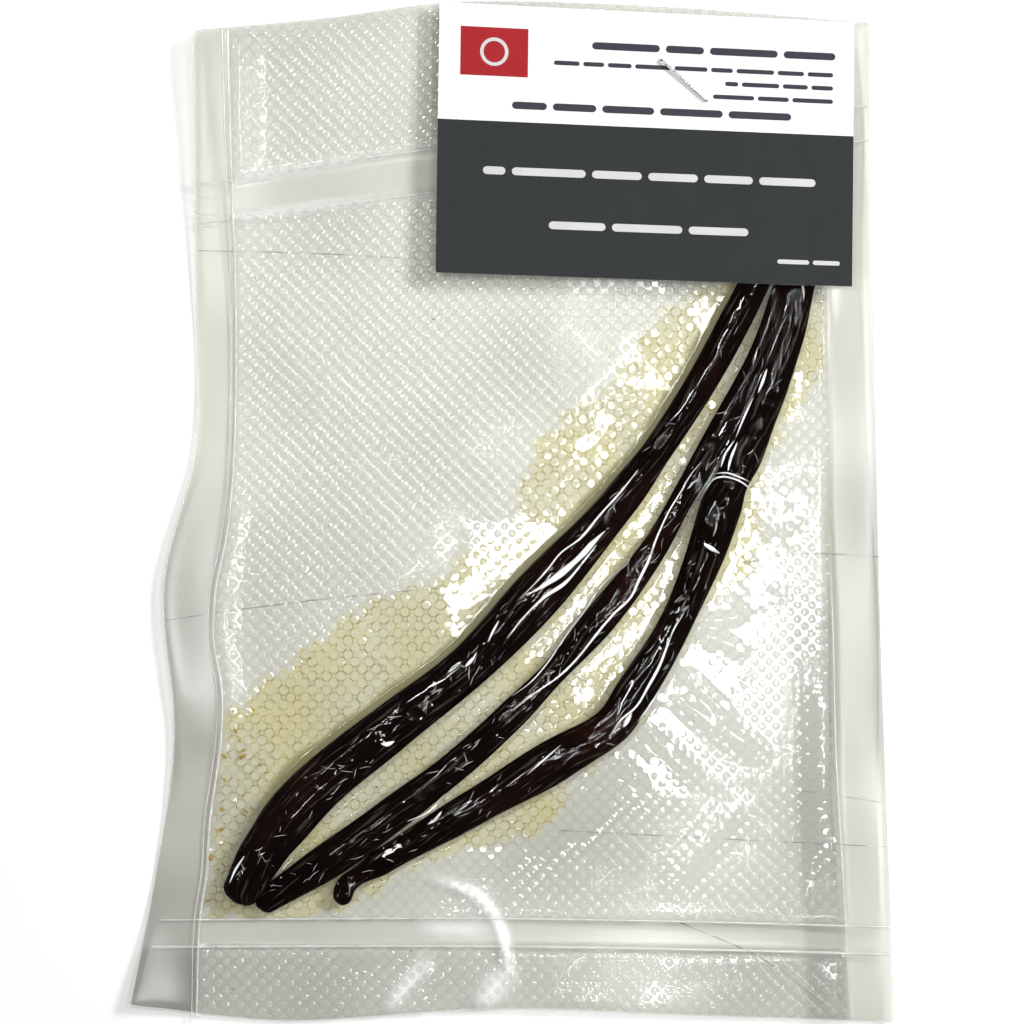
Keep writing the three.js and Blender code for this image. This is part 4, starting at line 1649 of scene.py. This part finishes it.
@dataclass
class EmbossPads:
    """The front sheet's low domes, where it is drawn down over the back sheet's round pads."""

    lattice: Lattice
    height: float = 0.064
    top_share: float = 0.40
    crown: float = 1.06
    crown_power: float = 3.0
    tilt: float = 0.012
    sides: int = 8
    across: int = 130
    drawn_limit: float = 0.35
    taut_flatness: float = 0.93
    size_spread: Point = (0.94, 1.03)
    seed: int = 3

    def dome(self, tree: GeometryTree) -> Node:
        """Makes one dome.

        Args:
            tree: the tree of all domes.

        Returns:
            The dome's mesh.
        """
        inputs = {
            "Vertices": tree.given("Sides"),
            "Side Segments": 2,
            "Radius Top": tree.given("Top Radius"),
            "Radius Bottom": tree.given("Pad Radius"),
        }
        cone = tree.node("MeshCone", inputs, fill_type="TRIANGLE_FAN")
        bottom = {"Geometry": cone, "Selection": cone.outputs["Bottom"]}
        open_cone = tree.node("DeleteGeometry", bottom, domain="FACE")
        x, y, _ = tree.split(tree.node("InputPosition"))
        reach = tree.math("SQRT", tree.add(tree.mul(x, x), tree.mul(y, y)))
        share = tree.math("DIVIDE", reach, tree.given("Pad Radius"))
        fall = tree.math("SUBTRACT", self.crown, tree.math("POWER", share, self.crown_power))
        at = tree.join(x, y, tree.mul(fall, tree.given("Pad Height")))
        return tree.node("SetPosition", {"Geometry": open_cone, "Position": at})

    def ray(self, tree: GeometryTree, name: str) -> Node:
        """A ray straight down on the sheet from each lattice point.

        Args:
            tree: the tree of all domes.
            name: the sheet's map that the ray reads.

        Returns:
            The Raycast node.
        """
        x, y, _ = tree.split(tree.node("InputPosition"))
        inputs = {
            "Target Geometry": tree.start,
            "Attribute": tree.read(name),
            "Source Position": tree.join(x, y, OVERHEAD),
            "Ray Direction": (0, 0, -1),
            "Ray Length": 4 * OVERHEAD,
        }
        return tree.node("Raycast", inputs, data_type="FLOAT")

    def build(self, sheet: Object, material: Material) -> Object:
        """Sets a dome on each lattice point where the sheet lies on the pads.

        Args:
            sheet: the front sheet, with its drawn and taut maps.
            material: the domes' film.

        Returns:
            All domes as one mesh.
        """
        lattice = self.lattice
        inputs = {
            "Span": lattice.pitch * MM * (self.across - 1),
            "Across": self.across,
            "Turn": math.radians(lattice.turn),
            "Pad Radius": lattice.pad_radius * MM,
            "Top Radius": self.top_share * lattice.pad_radius * MM,
            "Pad Height": self.height * MM,
            "Sides": self.sides,
            "Limit": self.drawn_limit,
            "Taut Flatness": self.taut_flatness,
            "Seed": self.seed,
        }
        tree = GeometryTree("emboss_pads", inputs)
        span, across = tree.given("Span"), tree.given("Across")
        sizes = {"Size X": span, "Size Y": span, "Vertices X": across, "Vertices Y": across}
        grid = tree.node("MeshGrid", sizes)
        turn = {"Geometry": grid, "Rotation": tree.join(0.0, 0.0, tree.given("Turn"))}
        turned = tree.node("Transform", turn)
        ray, pull = self.ray(tree, "drawn"), self.ray(tree, "taut")
        inputs = {0: ray.outputs["Attribute"], 1: tree.given("Limit")}
        loose = tree.node("FunctionNodeCompare", inputs, operation="LESS_THAN")
        inputs = {0: ray.outputs["Is Hit"], 1: loose}
        skip = tree.node("FunctionNodeBooleanMath", inputs, operation="NAND")
        kept = tree.node("DeleteGeometry", {"Geometry": turned, "Selection": skip})
        inputs = {"Geometry": kept, "Position": ray.outputs["Hit Position"]}
        laid = tree.node("SetPosition", inputs)
        taut = pull.outputs["Attribute"]
        inputs = {"Geometry": laid, "Name": "taut", "Value": taut}
        marked = tree.node("StoreNamedAttribute", inputs, data_type="FLOAT", domain="POINT")
        vary = tree.random(*self.size_spread)
        flat = tree.rest(tree.mul(taut, tree.given("Taut Flatness")))
        tilt = tree.random((-self.tilt, -self.tilt, 0), (self.tilt, self.tilt, 0))
        upright = {"Vector": tree.vector("ADD", ray.outputs["Hit Normal"], tilt)}
        facing = tree.node("FunctionNodeAlignRotationToVector", upright, axis="Z")
        scale = tree.join(vary, vary, tree.mul(vary, flat))
        pads = tree.scatter(marked, self.dome(tree), facing, scale)
        return tree.run(pads, material, sheet, "film_pads")


@dataclass(frozen=True)
class Specks:
    """Small flat drops or crumbs, scattered where a field says."""

    name: str
    density: float
    size: float
    flatness: float
    seed: int
    above: float = 0.36
    turns: Triple = (0.3, 0.3, 6.2)
    least: Triple = (0.4, 0.3, 0.6)
    most: Triple = (1.5, 1.1, 1.0)

    def build(self, sheet: Object, share: Array, material: Material) -> Object:
        """Scatters the specks over a sheet.

        Args:
            sheet: the sheet that they lie on.
            share: how many lie at each of its points, as a share of the full density.
            material: their finish.

        Returns:
            All specks as one mesh.
        """
        add_field(sheet, self.name, share)
        inputs = {
            "Density": self.density / MM**2,
            "Size": self.size * MM,
            "Flatness": self.flatness,
            "Seed": self.seed,
        }
        tree = GeometryTree(self.name, inputs)
        size, seed = tree.given("Size"), tree.given("Seed")
        dense = tree.mul(tree.read(self.name), tree.given("Density"))
        inputs = {"Mesh": tree.start, "Density": dense, "Seed": seed}
        dots = tree.node("DistributePointsOnFaces", inputs)
        ball = tree.node("MeshIcoSphere", {"Radius": 1.0, "Subdivisions": 1})
        turn = tree.random((0, 0, 0), self.turns)
        vary = tree.random(self.least, self.most)
        shape = tree.join(size, size, tree.mul(size, tree.given("Flatness")))
        crumbs = tree.scatter(dots, ball, turn, tree.vector("MULTIPLY", vary, shape))
        inputs = {"Geometry": crumbs, "Translation": (0, 0, self.above * MM)}
        raised = tree.node("Transform", inputs)
        return tree.run(raised, material, sheet, self.name)


AMBER_DROPS = Specks("amber_drops", density=0.10, size=0.52, flatness=0.06, seed=41)
DARK_CRUMBS = Specks("dark_crumbs", density=0.006, size=0.17, flatness=0.7, seed=43)


# ---- Card and staple ----------------------------------------------------------------------------


class Ink(Enum):
    """The card's printed colours, in linear light."""

    WHITE = (0.86, 0.86, 0.86)
    CHARCOAL = (0.027, 0.030, 0.031)
    PAPER = (0.80, 0.80, 0.78)
    RED = (0.37, 0.016, 0.021)
    NAVY_TEXT = (0.045, 0.045, 0.060)
    PALE_TEXT = (0.62, 0.62, 0.62)


@dataclass
class Card:
    """A plain business card, bowed a little, white above and charcoal below.

    Each of its rows of bars is an ink, the left and right end and the middle as shares of the
    card, and the bars' height. The bars' lengths and gaps are in heights of a bar.
    """

    back_left: Point = (-14.8, 104.3)
    back_right: Point = (70.0, 100.1)
    front_right: Point = (69.4, 46.0)
    front_left: Point = (-15.6, 48.9)
    size: Point = (84.9, 55.0)
    thickness: float = 0.4
    front_height: float = 4.95
    back_height: float = 3.5
    bow: float = 0.35
    split: float = 0.568
    columns: int = 40
    rows: int = 26
    print_lift: float = 0.03
    block: tuple[Point, Point] = ((0.052, 0.215), (0.735, 0.915))
    ring_middle: Point = (0.1335, 0.825)
    ring_radii: Point = (2.9, 2.2)
    ring_sides: int = 32
    bar_length: Point = (4.5, 9.5)
    bar_least: float = 2.2
    bar_gap: float = 0.8
    bars: tuple[tuple[Ink, float, float, float, float], ...] = (
        (Ink.NAVY_TEXT, 0.335, 0.955, 0.865, 1.5),
        (Ink.NAVY_TEXT, 0.265, 0.950, 0.795, 0.9),
        (Ink.NAVY_TEXT, 0.690, 0.950, 0.745, 0.9),
        (Ink.NAVY_TEXT, 0.630, 0.950, 0.695, 0.9),
        (Ink.NAVY_TEXT, 0.170, 0.850, 0.630, 1.5),
        (Ink.PALE_TEXT, 0.110, 0.910, 0.385, 1.6),
        (Ink.PALE_TEXT, 0.270, 0.750, 0.190, 1.6),
        (Ink.PALE_TEXT, 0.820, 0.970, 0.085, 0.9),
    )

    def at(self, s: Array, t: Array, above: float = 0.0) -> Array:
        """Points of the card's underside, raised by above.

        Args:
            s: shares of the way from left to right.
            t: shares of the way from front to back.
            above: millimetres above the underside.

        Returns:
            Rows of x, y and z.
        """
        s, t = np.asarray(s, float)[..., None], np.asarray(t, float)[..., None]
        front = (1 - s) * np.array(self.front_left) + s * np.array(self.front_right)
        back = (1 - s) * np.array(self.back_left) + s * np.array(self.back_right)
        z = (1 - t) * self.front_height + t * self.back_height - self.bow * np.sin(math.pi * s)
        return np.concatenate([(1 - t) * front + t * back, z + above], axis=-1)

    def board(self, inks: dict[Ink, Material]) -> Object:
        """Makes the board: a closed bent slab with a white and a charcoal field.

        Args:
            inks: the card's materials.

        Returns:
            The board.
        """
        dark_rows = round(self.rows * self.split)
        low = np.linspace(0, self.split, dark_rows + 1)
        high = np.linspace(self.split, 1, self.rows - dark_rows + 1)[1:]
        s, t = np.meshgrid(np.linspace(0, 1, self.columns + 1), np.concatenate([low, high]))
        points = np.vstack([self.at(s, t, up).reshape(-1, 3) for up in (self.thickness, 0.0)])
        upper = grid_faces(*s.shape)
        number = np.arange(s.size).reshape(s.shape)
        sides = [number[0, :-1], number[:-1, -1], number[-1, :0:-1], number[:0:-1, 0]]
        loop = np.concatenate(sides)
        after = np.roll(loop, -1)
        rim = np.column_stack([loop, loop + s.size, after + s.size, after])
        faces = np.vstack([upper, upper[:, ::-1] + s.size, rim])
        slots = np.full(len(faces), 2)
        slots[: len(upper)] = np.arange(len(upper)) // self.columns < dark_rows
        materials = (inks[Ink.WHITE], inks[Ink.CHARCOAL], inks[Ink.PAPER])
        return make_mesh("card_board", points, faces, materials, slots.tolist())

    def bar(self, left: float, middle: float, length: float, height: float) -> Array:
        """The outline of a round-ended bar.

        Args:
            left: its left end as a share of the card.
            middle: its middle line as a share of the card.
            length: its length in millimetres.
            height: its height in millimetres.

        Returns:
            Rows of x, y and z.
        """
        radius = height / 2
        turn = np.concatenate([np.linspace(-90, 90, 7), np.linspace(90, 270, 7)]) * math.pi / 180
        shift = np.where(np.arange(14) < 7, length - radius, radius)
        s = left + (shift + radius * np.cos(turn)) / self.size[0]
        t = middle + radius * np.sin(turn) / self.size[1]
        return self.at(s, t, self.thickness + self.print_lift)

    def words(self) -> list[tuple[Ink, Array]]:
        """Rows of plain bars where a card carries small print.

        Returns:
            The ink and the outline of each bar.
        """
        made = []
        wide = self.size[0]
        for seed, (ink, left, right, middle, height) in enumerate(self.bars, 1):
            draw = np.random.default_rng(seed)
            start, end = left * wide, right * wide
            while end - start > self.bar_least * height:
                length = min(draw.uniform(*self.bar_length) * height, end - start)
                made.append((ink, self.bar((end - length) / wide, middle, length, height)))
                end -= length + self.bar_gap * height
        return made

    def build_print(self, inks: dict[Ink, Material]) -> Object:
        """Makes the print: the bars, a red block and a plain ring on it.

        Args:
            inks: the card's materials.

        Returns:
            The print as one mesh.
        """
        above = self.thickness + self.print_lift
        (left, right), (low, high) = self.block
        block = self.at([left, right, right, left], [low, low, high, high], above)
        points, faces, slots = [], [], []
        order = [Ink.NAVY_TEXT, Ink.PALE_TEXT, Ink.RED]
        for ink, outline in [*self.words(), (Ink.RED, block)]:
            faces.append(list(range(len(points), len(points) + len(outline))))
            points.extend(outline.tolist())
            slots.append(order.index(ink))
        first, count = len(points), self.ring_sides
        turn = np.linspace(0, 2 * math.pi, count, endpoint=False)
        for radius in self.ring_radii:
            s = self.ring_middle[0] + radius * np.cos(turn) / self.size[0]
            t = self.ring_middle[1] + radius * np.sin(turn) / self.size[1]
            points.extend(self.at(s, t, above + self.print_lift).tolist())
        for k in range(count):
            after = (k + 1) % count
            faces.append([first + k, first + after, first + count + after, first + count + k])
            slots.append(1)
        materials = tuple(inks[ink] for ink in order)
        return make_mesh("card_print", np.array(points), faces, materials, slots)


@dataclass
class Staple:
    """The staple's wire: a crown on the card, two legs, and two ends clenched under the bag."""

    start: Point = (30.4, 92.4)
    end: Point = (39.8, 84.0)
    wire: float = 0.55
    clench_height: float = 0.62
    clench: float = 4.2
    gap: float = 0.3
    bend: float = 0.55
    on_card: Point = (0.6, 0.745)

    def path(self, card: Card) -> Array:
        """The wire's middle line, with rounded bends.

        Args:
            card: the card that it holds.

        Returns:
            Rows of x, y and z.
        """
        top = card.at(*map(np.array, self.on_card), card.thickness)[2] + self.gap + self.wire / 2
        a, b = np.array(self.start), np.array(self.end)
        inwards = (b - a) / np.linalg.norm(b - a) * self.clench
        low = self.clench_height
        corners = np.array([
            (*(a + inwards), low), (*a, low), (*a, top), (*b, top), (*b, low), (*(b - inwards), low)
        ])
        points = [corners[0]]
        for before, corner, after in zip(corners[:-2], corners[1:-1], corners[2:]):
            enter, leave = (
                corner + (other - corner) / np.linalg.norm(other - corner) * self.bend
                for other in (before, after)
            )
            for t in np.linspace(0, 1, 6):
                points.append((1 - t) ** 2 * enter + 2 * t * (1 - t) * corner + t**2 * leave)
        points.append(corners[-1])
        return np.array(points)

    def build(self, card: Card, material: Material) -> Object:
        """Makes the wire.

        Args:
            card: the card that it holds.
            material: its steel.

        Returns:
            The wire.
        """
        path = self.path(card)
        lines = [(path, np.full(len(path), self.wire / 2))]
        return beads("staple_bent_wire", lines, material, sides=12)


# ---- Studio -------------------------------------------------------------------------------------


@dataclass(frozen=True)
class Panel:
    """A soft lamp: where it stands, what it points at, its size and how bright its face is."""

    name: str
    place: Triple
    target: Triple
    size: Point
    radiance: float
    colour: Triple = (1.0, 1.0, 1.0)
    turn: float = 0.0

    def build(self) -> None:
        """Adds the lamp."""
        light = bpy.data.lights.new(self.name, "AREA")
        light.shape = "RECTANGLE"
        light.size, light.size_y = self.size
        light.color = self.colour
        light.energy = self.radiance * math.pi * self.size[0] * self.size[1]
        lamp = link(self.name, light)
        lamp.location = self.place
        aim = Vector(self.target) - Vector(self.place)
        aimed = aim.to_track_quat("-Z", "Y").to_matrix()
        lamp.rotation_euler = (aimed @ Matrix.Rotation(math.radians(self.turn), 3, "Z")).to_euler()


@dataclass
class Studio:
    """The camera, the lamps and the pale floor."""

    height: float = 0.9
    view_width: float = 210.2
    sensor: float = 36.0
    floor_half: float = 1500.0
    sky: Triple = (0.95, 0.97, 1.0)
    sky_rise: tuple[float, float, float, float] = (0.15, 0.8, 0.12, 0.03)
    panels: tuple[Panel, ...] = (
        Panel("key", (0.68, 0.37, 0.60), (0, 0, 0), (0.45, 0.20), 33.0),
        Panel("strip_left", (-0.216, 0.170, 0.9), (0, -0.02, 0), (0.22, 0.040), 60.0),
        Panel("strip_right", (0.244, -0.257, 0.9), (0, -0.02, 0), (0.14, 0.025), 60.0),
        Panel("strip_back", (0.30, 0.14, 0.9), (0, -0.02, 0), (0.16, 0.035), 60.0),
        Panel("lobe", (0.096, -0.068, 0.9), (0.096, -0.068, 0), (0.050, 0.090), 30.0, turn=-8.0),
        Panel("patch", (-0.002, -0.024, 0.9), (0, 0, 0), (0.044, 0.030), 30.0, turn=35.0),
        Panel("valley", (0.0495, -0.038, 0.9), (0.0495, -0.038, 0), (0.084, 0.012), 30.0,
            turn=56.0),
        Panel("channel", (0.057, 0.0, 0.9), (0.057, 0.0, 0), (0.043, 0.008), 30.0, turn=63.0),
        Panel("cloud", (0.049, 0.068, 0.9), (0.049, 0.068, 0), (0.030, 0.060), 17.0, turn=10.0),
        Panel("low_patch", (-0.004, -0.186, 0.9), (0, -0.05, 0), (0.03, 0.03), 30.0),
        Panel("side_patch", (0.122, 0.070, 0.9), (0.05, 0, 0), (0.016, 0.04), 30.0),
        Panel("window", (0.75, -0.75, 0.60), (0, 0, 0), (0.09, 0.09), 6.0, (0.45, 0.66, 1.0)),
        Panel("fill", (-0.75, -0.35, 0.85), (0, 0, 0), (0.25, 0.25), 12.0),
    )

    def camera(self) -> None:
        """Puts the camera straight above the middle of the bag."""
        data = bpy.data.cameras.new("camera")
        data.sensor_width = self.sensor
        data.lens = self.height / MM * self.sensor / self.view_width
        obj = link("camera", data)
        obj.location = (0, 0, self.height)
        bpy.context.scene.camera = obj

    def light(self) -> None:
        """Adds the lamps, and a surrounding that is dark overhead and paler at the horizon."""
        for panel in self.panels:
            panel.build()
        world = bpy.data.worlds.new("surround")
        world.use_nodes = True
        nodes = Nodes(world.node_tree)
        up = nodes.split(nodes.node("TexCoord").outputs["Generated"])[2]
        names = ("From Min", "From Max", "To Min", "To Max")
        inputs = {"Value": up, **dict(zip(names, self.sky_rise))}
        back = world.node_tree.nodes["Background"]
        nodes.feed(back.inputs[0], self.sky)
        nodes.feed(back.inputs[1], nodes.node("MapRange", inputs))
        bpy.context.scene.world = world
        bpy.context.scene.view_settings.view_transform = "Standard"

    def floor(self) -> None:
        """Adds the pale floor that the pack lies on."""
        corners = ((-1, -1, 0), (1, -1, 0), (1, 1, 0), (-1, 1, 0))
        points = self.floor_half * np.array(corners, float)
        make_mesh("floor", points, [[0, 1, 2, 3]], (Finishes().floor(),), [0])


# ---- The pack -----------------------------------------------------------------------------------


class Pack:
    """Everything that is picked up together."""

    def __init__(self, frame: dict) -> None:
        """Keeps the frame and starts the finishes and sheets.

        Args:
            frame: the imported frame.
        """
        self.frame = frame
        self.finishes = Finishes()
        self.sheets = FilmSheets()

    def report(self, piece: Object, slot: str, *nodes: str) -> Object:
        """Fixes a piece to the body and logs it.

        Args:
            piece: the finished piece.
            slot: the record's material slot; not used.
            nodes: the frame's nodes that it stands for.

        Returns:
            The piece.
        """
        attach(piece, "root")
        if nodes:
            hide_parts(*nodes)
        LOG.info("%s: %d faces", piece.name, len(piece.data.polygons))
        return piece

    def build(self) -> None:
        """Builds every piece in order."""
        skin = self.finishes.pod_skin()
        nodes = ("pod_left", "pod_middle", "pod_right")
        skins = [self.report(pod.build(skin), "pod_skin", node) for pod, node in zip(PODS, nodes)]
        self.sheets.shape(self.frame["nodes"]["bag"], PODS, skins)
        self.film()
        self.card_and_staple()

    def film(self) -> None:
        """Builds the two sheets and all that is in and on them."""
        sheets = self.sheets
        front = sheets.build_front(self.finishes.front_film())
        back = sheets.build_back(self.finishes.back_film())
        pads = EmbossPads(self.finishes.lattice).build(front, self.finishes.pads())
        places, weld, oil = (
            values[::2, ::2] for values in (sheets.places, sheets.maps["weld"], sheets.maps["oil"])
        )
        x, y = places[..., 0], places[..., 1]
        in_left = x - x_at(sheets.left_seal, y)
        corner = smoothstep(16, 0, in_left) * smoothstep(-25, -50, y) * oil
        gold = self.finishes.speck("amber_drop", (0.90, 0.66, 0.12), 0.3)
        amber = AMBER_DROPS.build(back, corner, gold)
        dark = self.finishes.speck("dark_crumb", (0.02, 0.012, 0.008), 1.0)
        crumbs = DARK_CRUMBS.build(back, 1 - weld, dark)
        self.report(front, "film", "bag")
        for piece in (back, pads, amber):
            self.report(piece, "film")
        self.report(crumbs, "pod_skin")
        for piece in Seals(sheets).build(front, back, PODS, self.finishes):
            self.report(piece, "film")

    def card_and_staple(self) -> None:
        """Builds the card, its print and the staple."""
        inks = {ink: self.finishes.paper("card_" + ink.name.lower(), ink.value) for ink in Ink}
        card = Card()
        self.report(card.board(inks), "card", "card")
        self.report(card.build_print(inks), "card")
        self.report(Staple().build(card, self.finishes.steel()), "staple_wire", "staple")


def main() -> None:
    """Builds the studio and the pack."""
    logging.basicConfig(level=logging.INFO, format="%(name)s: %(message)s")
    studio = Studio()
    studio.camera()
    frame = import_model()
    studio.light()
    studio.floor()
    Pack(frame).build()


if __name__ == "__main__":
    main()
